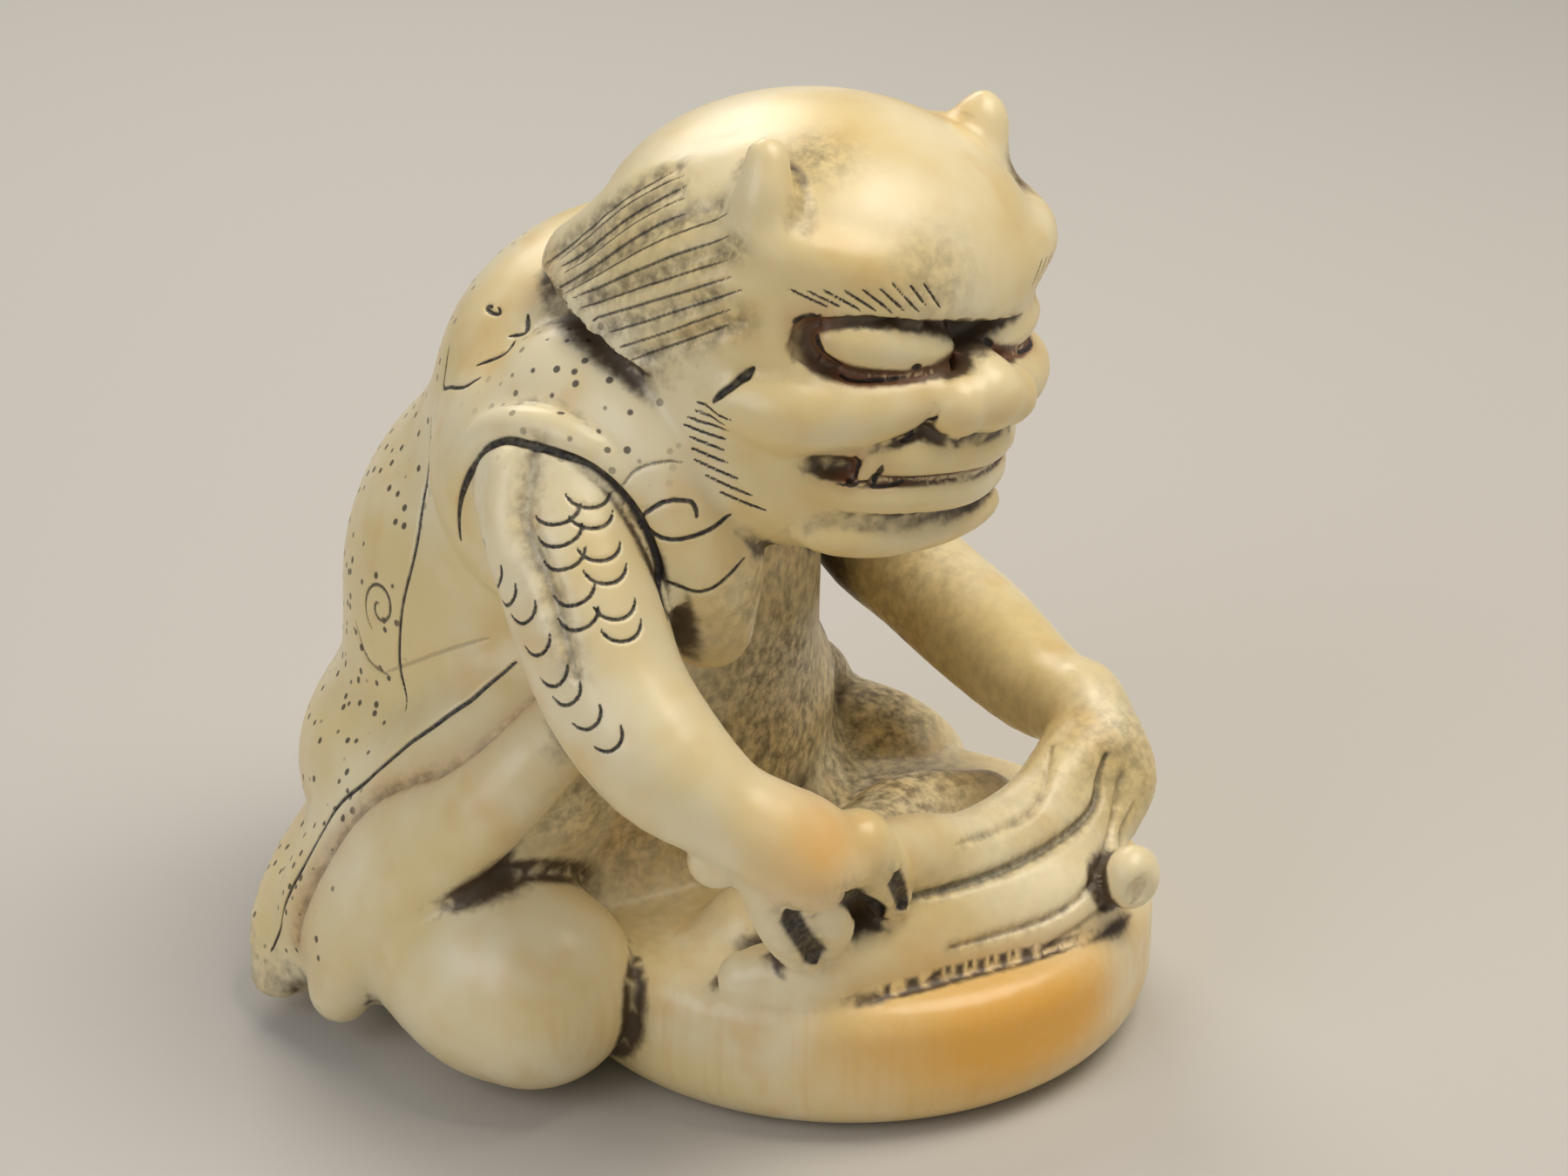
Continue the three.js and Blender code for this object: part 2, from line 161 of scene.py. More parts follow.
def slab(centre, radii, height, lowEdge, highEdge, onHead=False):
    # Upright elliptical plate standing on centre: distance to a rounded rectangle turned about
    # the axis, with one rounding radius below the middle and another above.
    centre = np.array(centre, float)
    frameTurn = headTurn if onHead else np.eye(3)
    if onHead:
        centre = toHead(centre)
    wide, deep = radii
    middle = centre + frameTurn @ np.array([0, 0, height / 2])
    reach = np.abs(frameTurn) @ np.array([wide, deep, height / 2])
    turnBack, foot = frameTurn.astype(single), centre.astype(single)

    def depth(points):
        local = (points - foot) @ turnBack
        out = np.hypot(local[:, 0], local[:, 1] * single(wide / deep))
        edge = np.where(local[:, 2] < height / 2, lowEdge, highEdge).astype(single)
        side = out - (wide - edge)
        cap = np.abs(local[:, 2] - height / 2) - (height / 2 - edge)
        rounded = np.sqrt(np.maximum(side, 0) ** 2 + np.maximum(cap, 0) ** 2)
        return (np.minimum(np.maximum(side, cap), 0) + rounded - edge) * single(min(1, deep / wide))
    return {"low": middle - reach, "high": middle + reach, "depth": depth}


def below(form, point, normal, onHead=False):
    # The part of a form on the inner side of a plane: the higher of the two depths.
    point, normal = np.array(point, float), np.array(normal, float)
    if onHead:
        point, normal = toHead(point), headTurn @ normal
    normal = (normal / np.linalg.norm(normal)).astype(single)
    point = point.astype(single)
    inner = form["depth"]
    return {"low": form["low"], "high": form["high"],
            "depth": lambda points: np.maximum(inner(points), (points - point) @ normal)}


def carved(*steps):
    # Steps (what, blend, forms) taken in order: "add" takes the soft lower depth, "cut" the soft
    # higher depth with the form turned inside out. Far points skip the forms that can't reach them.
    steps = [(what, blend, form) for what, blend, *forms in steps for form in forms]
    adds = [form for what, blend, form in steps if what == "add"]
    low = np.min([form["low"] for form in adds], 0)
    high = np.max([form["high"] for form in adds], 0)

    def depth(points, margin=0.6):
        total = np.full(len(points), 9.0, single)
        if not len(points):
            return total
        lowest, highest = points.min(0), points.max(0)
        for what, blend, form in steps:
            reach = margin + blend
            if (lowest > form["high"] + reach).any() or (highest < form["low"] - reach).any():
                continue
            inLow = points > (form["low"] - reach).astype(single)
            inHigh = points < (form["high"] + reach).astype(single)
            near = np.nonzero((inLow & inHigh).all(1))[0]
            if not len(near):
                continue
            close = points[near]
            value = form["depth"](close, margin) if "whole" in form else form["depth"](close)
            if what == "cut":
                total[near] = softHigh(total[near], -value, blend)
            else:
                total[near] = softLow(total[near], value, blend)
        return total
    return {"low": low, "high": high, "depth": depth, "whole": True}


def bothSides(make, points, radii, **settings):
    # One form and its mirror image across the head's middle plane.
    flipped = [(-x, y, z) for x, y, z in points]
    return make(points, radii, **settings), make(flipped, radii, **settings)


def eggPair(centre, radii, turn=(0, 0, 0)):
    x, y, z = centre
    aboutX, aboutY, aboutZ = turn
    return (egg(centre, radii, turn, onHead=True),
            egg((-x, y, z), radii, (aboutX, -aboutY, -aboutZ), onHead=True))


def across(half):
    # A row of points or widths from one side to the middle, carried on to the other side.
    half = list(half)
    if np.ndim(half[0]):
        return half + [(-x, y, z) for x, y, z in half[-2::-1]]
    return half + half[-2::-1]


# ---- body and robe ----------------------------------------------------------------------------

robe = {
    "back": [((-0.2, 1.5, 24.5), (8.9, 6.8, 6.3), (14, 0, 0)), ((-0.2, 4.7, 15.8), (10.0, 8.7, 9.1), (0, 0, 0)),
             ((0, 5.2, 9), (10.6, 8.6, 7.5), (0, 0, 0))],
    "seat": [((0, 5.7, 8.8), (12.3, 9.2, 6.3)), ((0, 5.2, 4.2), (14.2, 9.9, 4.6))],
    "nearDrape": ([(-6, -0.2, 14), (-9, 1.8, 10.2), (-10.8, 6, 4.8)], [3.6, 4.2, 3.9]),
    "farDrape": ([(6.2, 3.0, 9.2), (8.8, 4.0, 7.0), (10.4, 6.4, 4.4)], [2.2, 2.9, 3.7]),
    "nearCorner": ([(-6, 8.2, 4.8), (-10.2, 8.8, 3.8), (-13, 9.3, 1.7)], [4.6, 3.5, 1.4]),
    "farCorner": ([(6, 8.4, 4.0), (10, 9.6, 3.2), (12.6, 9.8, 1.8)], [4.6, 3, 1.1]),
    "nearRoll": ([(-7.6, -2.0, 15.8), (-9.8, -2.3, 14.2), (-11.8, -0.9, 12.0), (-13.0, 1.6, 8.9),
                  (-13.6, 4.0, 5.5), (-13.8, 5.5, 2.7)], [1.2, 1.7, 2.0, 2.1, 2.0, 1.5]),
    "farRoll": ([(7.2, 2.6, 9.6), (9.8, 2.2, 8.2), (12.0, 3.2, 6.4), (13, 5, 4.4), (13.2, 6.8, 2.4)],
                [1.2, 1.7, 2, 1.9, 1.3]),
    "cornerFlat": 0.62, "rollFlat": 0.8,
    "armhole": [(-10.3, 1.7, 21.5), (-10.6, 1.2, 23.6), (-10.6, 0.0, 25.4), (-10.7, -2.2, 26.3),
                (-10.2, -4.4, 25.9), (-9.5, -5.9, 24.4), (-9.2, -6.8, 22.4), (-9.4, -7.3, 20.6)],
    "armholeRadii": [0.35, 0.55, 0.7, 0.75, 0.7, 0.6, 0.5, 0.35],
}
sleeves = {
    "near": ((-7.4, -0.8, 22.8), (4.0, 5.6, 5.2)),
    "nearFront": ([(-7.6, -1.6, 27.0), (-7.9, -4.4, 26.3), (-7.7, -6.2, 24.2), (-7.2, -6.7, 21.6), (-6.4, -6.6, 18.4)],
                  [2.0, 2.0, 2.1, 2.4, 1.6]),
    "far": ((7.4, -0.8, 22.0), (3.8, 5.2, 5.0)),
    "farFront": ([(7.4, -1.6, 25.4), (7.2, -4.2, 24.4), (6.6, -5.0, 21.5), (5.6, -5.2, 18.2)], [1.9, 1.9, 2.1, 1.4]),
}
knees = {
    "near": ([(-6, 6, 6), (-9.6, 3.2, 5.2), (-11.4, -0.3, 4.6), (-11.6, -2.2, 4.4)], [4.5, 4.4, 4.2, 3.9]),
    "far": ([(6, 6, 5.2), (9.6, 3.4, 4.2), (11.4, 0, 3.6), (11.8, -1.4, 3.4)], [4.0, 3.8, 3.6, 3.3]),
}
tub = {"centre": (1.55, -6.9, 0), "radius": 11.8, "height": 5.6, "lowEdge": 2.4, "highEdge": 1.3,
       "knob": ((4.0, -18.3, 7.6), (1.2, 1.0, 1.25)), "knobEye": ((3.4, -19.2, 7.5), (0.5, 0.6, 0.55))}
cloth = {
    "lower": ([(-8.6, -9.9, 6.0), (-6.4, -12.0, 6.2), (-2, -13.6, 6.2), (2.2, -15.3, 6.2), (4.8, -15.6, 6.2)],
              [1.0, 1.7, 2.2, 2.3, 2.0]),
    "middle": ([(-6.5, -12.6, 7.2), (-2, -13.4, 7.6), (3, -14.3, 7.6), (6.6, -14.8, 8.0)], [1.2, 1.7, 1.8, 1.6]),
    "upper": ([(-6.6, -13.2, 10.8), (-3, -13.2, 9.9), (0, -13.6, 8.9), (4, -13.9, 8.9), (7, -13.8, 10.0)],
              [1.2, 1.4, 1.4, 1.5, 1.6]),
    "laid": ([(-5, -7.5, 5.6), (0, -8, 5.9), (5, -7, 5.8), (8.4, -8.4, 5.6)], [1.9, 2.0, 1.9, 1.5]),
}
arms = {
    "near": ([(-9.8, -2.4, 23.6), (-11.1, -4.6, 20.9), (-11.9, -6.7, 18.0), (-12.0, -9.0, 15.9),
              (-11.3, -11.0, 14.4), (-10.4, -12.4, 13.4)], [2.9, 2.8, 2.6, 2.4, 1.9, 1.8]),
    "far": ([(9.2, -0.8, 21.5), (11.6, 1.0, 17.4), (12.5, 0.4, 13.9), (11.9, -2.8, 12.7), (11.0, -6.2, 11.8),
             (9.9, -9.8, 10.9), (8.9, -12.6, 11.0)], [2.7, 2.5, 2.4, 2.3, 2.3, 2.0, 1.6]),
    "nearTriceps": ([(-11.6, -2.1, 24.9), (-12.4, -2.7, 22.9), (-13.0, -4.3, 20.3)], [0.9, 1.1, 0.8]),
    "nearPalm": ([(-10.6, -12.2, 13.6), (-9.4, -13.0, 12.6), (-8.2, -13.5, 12.0)], [1.9, 2.2, 1.7]),
    "wristBone": ((-11.3, -10.9, 12.3), (1.1, 1.1, 1.0)),
    "nearFingers": [([(-10.2, -12.4, 11.9), (-9.3, -12.5, 9.4), (-7.4, -11.9, 6.7)], [1.35, 1.15, 0.6]),
                    ([(-8.6, -13.4, 11.8), (-8.0, -13.3, 9.3), (-7.1, -12.6, 7.3)], [1.2, 0.95, 0.5]),
                    ([(-7.0, -13.8, 12.0), (-5.8, -13.9, 10.2), (-4.7, -13.8, 8.4)], [1.35, 1.1, 0.55])],
    "farFist": ([(8.9, -12.4, 11.1), (8.3, -14.1, 10.4), (8.1, -15.1, 9.0), (7.7, -15.1, 7.4)],
                [1.7, 1.45, 1.3, 0.9]),
}


def bodyForm():
    # Torso, skirt and rolls are summed soft; knees, tub and cloth keep a sharper crease; the arms
    # and hands lie over them.
    back = carved(("add", 3.0, *[egg(*form) for form in robe["back"]]))
    seat = carved(("add", 1.6, *[egg(*form) for form in robe["seat"]]))
    nearSleeve = carved(("add", 1.5, egg(*sleeves["near"]), limb(*sleeves["nearFront"])))
    farSleeve = carved(("add", 1.5, egg(*sleeves["far"]), limb(*sleeves["farFront"])))
    drapes = limb(*robe["nearDrape"]), limb(*robe["farDrape"])
    corners = (limb(*robe["nearCorner"], flat=((-0.35, 0, 0.94), robe["cornerFlat"])),
               limb(*robe["farCorner"], flat=((0.35, 0, 0.94), robe["cornerFlat"])))
    rolls = (limb(*robe["nearRoll"], flat=((0.9, -0.3, -0.3), robe["rollFlat"])),
             limb(*robe["farRoll"], flat=((-0.9, -0.3, -0.3), robe["rollFlat"])))
    rim = limb(robe["armhole"], robe["armholeRadii"])
    held = carved(("add", 0.8, *[limb(*cloth[name]) for name in ("lower", "middle", "upper")]))
    plate = slab(tub["centre"], (tub["radius"],) * 2, tub["height"], tub["lowEdge"], tub["highEdge"])
    palm = limb(*arms["nearPalm"], flat=((0.3, -0.8, 0.5), 0.8))
    nearHand = carved(("add", 0.6, palm, egg(*arms["wristBone"])),
                      ("add", 0.25, *[limb(*finger) for finger in arms["nearFingers"]]))
    farHand = carved(("add", 0.8, limb(*arms["farFist"], flat=((1, 0, 0), 1.1))))
    return carved(
        ("add", 0.1, back), ("add", 0.8, seat, nearSleeve, farSleeve), ("add", 1.0, *drapes),
        ("add", 0.8, *corners), ("add", 0.4, *rolls), ("add", 0.35, limb(*knees["near"]), limb(*knees["far"])),
        ("add", 0.3, rim), ("add", 0.25, plate), ("add", 0.3, held), ("add", 1.2, limb(*cloth["laid"])),
        ("add", 0.3, egg(*tub["knob"])), ("cut", 0.2, egg(*tub["knobEye"])),
        ("add", 0.3, limb(*arms["near"]), limb(*arms["nearTriceps"]), limb(*arms["far"])), ("add", 0.4, nearHand), ("add", 0.6, farHand))


# ---- head -------------------------------------------------------------------------------------

face = {
    "barrel": ((-0.4, 0, -7.2), (7.9, 7.4), 8.9, 2.8, 1.6),
    "skull": ((-0.1, -6.5, 30.8), (8.1, 8.0, 5.7), (0, 5, 0)),
    "brow": ([(-7.0, -1.9, 3.8), (-6.0, -3.5, 3.8), (-4.4, -4.7, 3.75), (-2.3, -5.4, 3.6), (0, -5.6, 3.5)],
             [0.8, 1.1, 1.2, 1.2, 1.15]),
    "hollow": ([(-6.5, -4.9, 1.4), (-5.2, -6.1, 1.4), (-2.8, -7.0, 1.45), (0, -7.3, 1.5)], [0.9, 1.35, 1.4, 1.2]),
    "ledge": ((0, -7, 2.45), (0.1, 0.2, 1)),
    "nearEye": ((-3.5, -5.6, 1.42), (2.85, 1.25, 1.12), (0, 3, -19)),
    "farEye": ((3.0, -5.6, 1.3), (2.8, 1.2, 1.05), (0, -3, 18)),
    "bridge": ([(0, -6.0, 0.9), (0, -7.2, 0.5), (0, -7.9, -0.1)], [0.6, 1.0, 1.2]),
    "noseTip": ((0, -8.05, 0.0), (1.5, 1.2, 1.25)), "nostril": ((-1.35, -7.75, -0.3), (1.2, 1.2, 1.15), (0, 0, 0)),
    "cheek": ([(-6.9, -3.0, -1.5), (-6.2, -4.4, -1.4), (-5.2, -5.2, -1.15), (-4.1, -6.0, -0.85), (-3.0, -6.6, -0.5),
               (-2.1, -7.1, 0.0)], [1.3, 1.5, 1.45, 1.3, 1.05, 0.7]),
    "mouthHollow": ((-4.9, -6.5, -3.05), (1.8, 1.0, 0.5), (0, 0, -35)),
    "upperLip": ([(-3.4, -6.5, -2.55), (-1.9, -7.3, -2.25), (0, -7.8, -2.05)], [0.75, 0.9, 0.95]),
    "mouthLine": ([(-5.9, -5.8, -3.2), (-4.9, -6.5, -3.55), (-4.0, -7.3, -3.45), (-2.2, -8.4, -3.15),
                   (0, -9.0, -2.9)], [0.1, 0.2, 0.2, 0.18, 0.18]),
    "lowerLip": ([(-5.4, -5.2, -4.1), (-4.0, -6.3, -4.1), (-2.2, -7.2, -3.9), (0, -7.7, -3.7)],
                 [0.4, 0.6, 0.75, 0.85]),
    "chin": ((0, -5.8, -5.8), (5.4, 2.0, 1.15)),
    "fang": ((-3.95, -6.55, -2.95), (0.3, 0.35, 0.6), (0, 0, 0)),
    "nearHorn": ([(-6.0, -8.6, 33.4), (-6.1, -8.9, 34.9), (-5.8, -8.8, 36.1)], [1.4, 1.05, 0.75]),
    "farHorn": ([(5.6, -8.6, 32.6), (6.2, -9.1, 34.4), (6.3, -9.2, 35.0)], [1.8, 1.1, 0.7]),
}
hair = {"nape": ((0, -0.6, 27.8), (7.2, 6.0, 3.0), (-30, 0, 0)),
        "crown": ([(-4.8, 0.6, 4.4), (-5.4, 3.4, 2.0), (-5.6, 6.2, -0.6)], [2.0, 2.1, 1.6]),
        "flank": ([(-6.3, -1.2, 3.4), (-6.9, 1.6, 1.0), (-7.2, 4.0, -2.0)], [2.0, 3.1, 3.4]), "flat": 0.48,
        "hem": ((-8.5, 4.0, -1.2), (-0.1, 0.14, -1))}


def headForm():
    # Skull and face barrel first; the eye hollows are cut with a flat roof under the brow, then
    # eyes, nose, cheeks and lips are laid in and the mouth is cut between the lips.
    nose = carved(("add", 0.35, limb(*face["bridge"], onHead=True), egg(*face["noseTip"], onHead=True)),
                  ("add", 0.2, *eggPair(*face["nostril"])))
    sheets = [limb([(side * x, y, z) for x, y, z in hair["flank"][0]], hair["flank"][1], onHead=True,
                   flat=((-0.94 * side, 0.3, 0.15), hair["flat"])) for side in (1, -1)]
    sheets = [below(sheet, *hair["hem"], onHead=True) for sheet in sheets]
    locks = carved(("add", 0.8, egg(*hair["nape"]), *bothSides(limb, *hair["crown"], onHead=True), *sheets))
    row = {name: (across(face[name][0]), across(face[name][1])) for name in ("brow", "hollow", "upperLip",
                                                                           "mouthLine", "lowerLip")}
    hollow = below(limb(*row["hollow"], onHead=True), *face["ledge"], onHead=True)
    return carved(
        ("add", 0.1, slab(*face["barrel"], onHead=True)), ("add", 0.8, egg(*face["skull"])),
        ("add", 0.5, limb(*row["brow"], onHead=True)), ("cut", 0.12, hollow),
        ("add", 0.08, egg(*face["nearEye"], onHead=True), egg(*face["farEye"], onHead=True)),
        ("add", 0.3, *bothSides(limb, *face["cheek"], onHead=True)), ("add", 0.25, nose),
        ("cut", 0.2, *eggPair(*face["mouthHollow"])), ("add", 0.25, limb(*row["upperLip"], onHead=True)),
        ("add", 0.25, limb(*row["lowerLip"], onHead=True)), ("cut", 0.12, limb(*row["mouthLine"], onHead=True)),
        ("add", 0.4, egg(*face["chin"], onHead=True)), ("add", 0.08, *eggPair(*face["fang"])),
        ("add", 0.6, limb(*face["nearHorn"]), limb(*face["farHorn"])), ("add", 0.5, locks))


figure = carved(("add", 0.1, bodyForm()), ("add", 0.3, headForm()))


def depthAt(points, margin=0.6):
    # Depth below the skin, with everything under the floor plane taken off.
    return np.maximum(figure["depth"](points.astype(single), margin), -points[:, 2].astype(single))


def outward(points, step=0.03):
    # Direction in which the depth rises: the sum over four corners of a small tetrahedron.
    rise = np.zeros_like(points, dtype=single)
    for corner in ((1, -1, -1), (-1, -1, 1), (-1, 1, -1), (1, 1, 1)):
        corner = np.array(corner, single)
        rise += corner * depthAt(points + corner * step)[:, None]
    return rise / np.maximum(np.linalg.norm(rise, axis=1, keepdims=True), 1e-9)


def settle(points, times=2):
    # Newton steps onto the skin: each point moves back along the outward direction by its depth.
    for _ in range(times):
        points = points - outward(points) * np.clip(depthAt(points, 3.0), -1.5, 1.5)[:, None]
    return points


# ---- lifting the skin -------------------------------------------------------------------------

def sampleGrid(low, high, cell, block=8):
    # Depths on a cubic grid. Blocks whose middle lies deeper or further than their own half
    # diagonal are filled with a sign only.
    low = np.array(low, float)
    blocks = np.ceil((np.array(high) - low) / cell / block).astype(int)
    middles = np.stack(np.meshgrid(*[low[axis] + (np.arange(blocks[axis]) + 0.5) * block * cell
                                     for axis in range(3)], indexing="ij"), -1).reshape(-1, 3)
    reach = block * cell * 0.866 * 1.35 + 0.3
    coarse = depthAt(middles, reach + 0.5).reshape(blocks)
    grid = np.sign(coarse).astype(single) * 9
    for axis in range(3):
        grid = np.repeat(grid, block, axis)
    grid = np.pad(grid, ((0, 1),) * 3, mode="edge")
    active = np.argwhere(np.abs(coarse) < reach)
    active = active[np.argsort((active // 3) @ np.array([10000, 100, 1]), kind="stable")]
    inBlock = np.stack(np.meshgrid(*[np.arange(block + 1)] * 3, indexing="ij"), -1).reshape(-1, 3)
    batch = 60
    for first in range(0, len(active), batch):
        cells = (active[first:first + batch, None] * block + inBlock[None]).reshape(-1, 3)
        grid[cells[:, 0], cells[:, 1], cells[:, 2]] = depthAt(low + cells * cell, 2 * cell + 0.2)
    return grid, low


def surfaceNet(grid, low, cell):
    # One point in each cell that the skin crosses, at the mean of its edge crossings, and one
    # square across each grid edge whose ends differ in sign.
    inside = grid < 0
    size = np.array(grid.shape)
    corners = np.array([(x, y, z) for x in (0, 1) for y in (0, 1) for z in (0, 1)])
    count = sum(inside[x:size[0] - 1 + x, y:size[1] - 1 + y, z:size[2] - 1 + z].astype(np.int8)
                for x, y, z in corners)
    cells = np.argwhere((count > 0) & (count < 8))
    total = np.zeros((len(cells), 3))
    hits = np.zeros(len(cells))
    for first in range(8):
        for second in range(first + 1, 8):
            if np.abs(corners[first] - corners[second]).sum() != 1:
                continue
            start, end = grid[tuple((cells + corners[first]).T)], grid[tuple((cells + corners[second]).T)]
            crossed = (start < 0) != (end < 0)
            part = np.where(crossed, start / np.where(crossed, start - end, 1), 0)[:, None]
            total += crossed[:, None] * (corners[first] + part * (corners[second] - corners[first]))
            hits += crossed
    points = low + (cells + total / hits[:, None]) * cell
    names = np.full(tuple(size - 1), -1, np.int64)
    names[tuple(cells.T)] = np.arange(len(cells))
    squares = []
    for axis, one, two in ((0, 1, 2), (1, 2, 0), (2, 0, 1)):
        start = inside[tuple(slice(0, -1) if a == axis else slice(None) for a in range(3))]
        end = inside[tuple(slice(1, None) if a == axis else slice(None) for a in range(3))]
        edges = np.argwhere(start != end)
        keep = ((edges[:, one] > 0) & (edges[:, two] > 0) & (edges[:, one] < size[one] - 1)
                & (edges[:, two] < size[two] - 1))
        edges = edges[keep]
        ring = []
        for backOne, backTwo in ((1, 1), (0, 1), (0, 0), (1, 0)):
            spot = edges.copy()
            spot[:, one] -= backOne
            spot[:, two] -= backTwo
            ring.append(names[tuple(spot.T)])
        ring = np.stack(ring, 1)
        flip = ~start[tuple(edges.T)]
        ring[flip] = ring[flip][:, ::-1]
        squares.append(ring)
    return points, np.concatenate(squares)


def triangles(points, squares):
    # Each square is split along its shorter diagonal.
    one = np.linalg.norm(points[squares[:, 0]] - points[squares[:, 2]], axis=1)
    two = np.linalg.norm(points[squares[:, 1]] - points[squares[:, 3]], axis=1)
    turned = np.where((one <= two)[:, None], squares, np.roll(squares, -1, axis=1))
    return np.concatenate([turned[:, [0, 1, 2]], turned[:, [0, 2, 3]]])


def splitEdges(points, faces, wanted):
    # Every wanted edge gets a point at its middle, and each triangle is cut in two, three or four
    # according to which of its edges got one, so no open seam appears.
    edges = np.sort(np.stack([faces, np.roll(faces, -1, axis=1)], -1), -1).reshape(-1, 2)
    key, where = np.unique(edges[:, 0] * len(points) + edges[:, 1], return_inverse=True)
    ends = np.stack([key // len(points), key % len(points)], 1)
    chosen = wanted(ends)
    names = np.full(len(key), -1, np.int64)
    names[chosen] = len(points) + np.arange(chosen.sum())
    newPoints = points[ends[chosen]].mean(1)
    mids = names[where.reshape(-1)].reshape(-1, 3)
    split = mids >= 0
    count = split.sum(1)
    start = np.where(count == 1, split.argmax(1), np.where(count == 2, (~split).argmax(1) + 1, 0))
    order = (start[:, None] + np.arange(3)) % 3
    a, b, c = np.take_along_axis(faces, order, 1).T
    ab, bc, ca = np.take_along_axis(mids, order, 1).T
    none, single1, double, triple = (count == number for number in range(4))
    parts = [faces[none]]
    for rows, corners in ((single1, ((a, ab, c), (ab, b, c))),
                          (double, ((ab, b, bc), (a, ab, bc), (a, bc, c))),
                          (triple, ((a, ab, ca), (ab, b, bc), (ca, bc, c), (ab, bc, ca)))):
        parts += [np.stack([corner[rows] for corner in trio], 1) for trio in corners]
    return np.vstack([points, newPoints]), np.concatenate(parts)


# ---- knife lines ------------------------------------------------------------------------------
# A cut is a drawn line on the skin with a half width and a depth in mm, a share of ink left in it
# (1 black, 0 clean), a share of rust tint and a share of brown stain around it.

cuts = []


def cut(points, width=0.09, depth=0.08, ink=0.9, rust=0.0, stain=0.0, onHead=False, taper=0.5):
    # The line through the given points, sampled every 0.2 mm and settled on the skin.
    points = toHead(points) if onHead else np.asarray(points, float)
    length = np.linalg.norm(np.diff(points, axis=0), axis=1).sum()
    count = max(4, int(length / 0.2) + 1)
    path = settle(curveThrough(points, count)) if len(points) > 1 else settle(points)
    cuts.append({"path": path, "width": width, "depth": depth, "ink": ink, "rust": rust, "stain": stain,
                 "taper": taper})


def scroll(centre, across, up, size, turns, start, **settings):
    # Spiral: the radius grows evenly with the angle while it turns in the plane of across and up.
    angle = np.linspace(0, 1, int(14 * turns) + 4)
    radius = size * (0.12 + 0.88 * angle)
    turned = math.radians(start) + angle * turns * 2 * math.pi
    across, up = np.array(across, float), np.array(up, float)
    cut(np.array(centre) + radius[:, None] * (np.cos(turned)[:, None] * across + np.sin(turned)[:, None] * up),
        **settings)


def hatch(firstRail, secondRail, count, seed, **settings):
    # Short cuts from evenly spaced places on one rail to the same places on the other, with a
    # little scatter in where each starts and stops.
    scatter = np.random.default_rng(seed).uniform(-0.12, 0.12, (count, 2))
    starts, ends = curveThrough(firstRail, count), curveThrough(secondRail, count)
    for number in range(count):
        step = ends[number] - starts[number]
        cut([starts[number] + scatter[number, 0] * step, (starts[number] + ends[number]) / 2,
             ends[number] + scatter[number, 1] * step], **settings)


def crescents(axis, rows, radius, **settings):
    # Scale edges on an arm: half rings hanging towards the hand, set at steps along the arm's
    # axis at an angle around it.
    path = curveThrough(axis, 10 * (len(axis) - 1) + 1)
    for start, end, count, angle, size in rows:
        for place, turned in zip(np.linspace(start, end, count), np.linspace(*angle, count)):
            index = int(round(place * 10))
            ahead = path[min(index + 1, len(path) - 1)] - path[max(index - 1, 0)]
            ahead /= np.linalg.norm(ahead)
            side = np.cross(ahead, (0, 0, 1.0))
            side /= np.linalg.norm(side)
            out = math.cos(math.radians(turned)) * side + math.sin(math.radians(turned)) * np.cross(side, ahead)
            around = np.cross(ahead, out)
            sweep = np.radians(np.linspace(-80, 80, 9))[:, None]
            ring = path[index] + radius * out + size * (np.cos(sweep) * ahead + 1.15 * np.sin(sweep) * around)
            cut(ring, **settings)


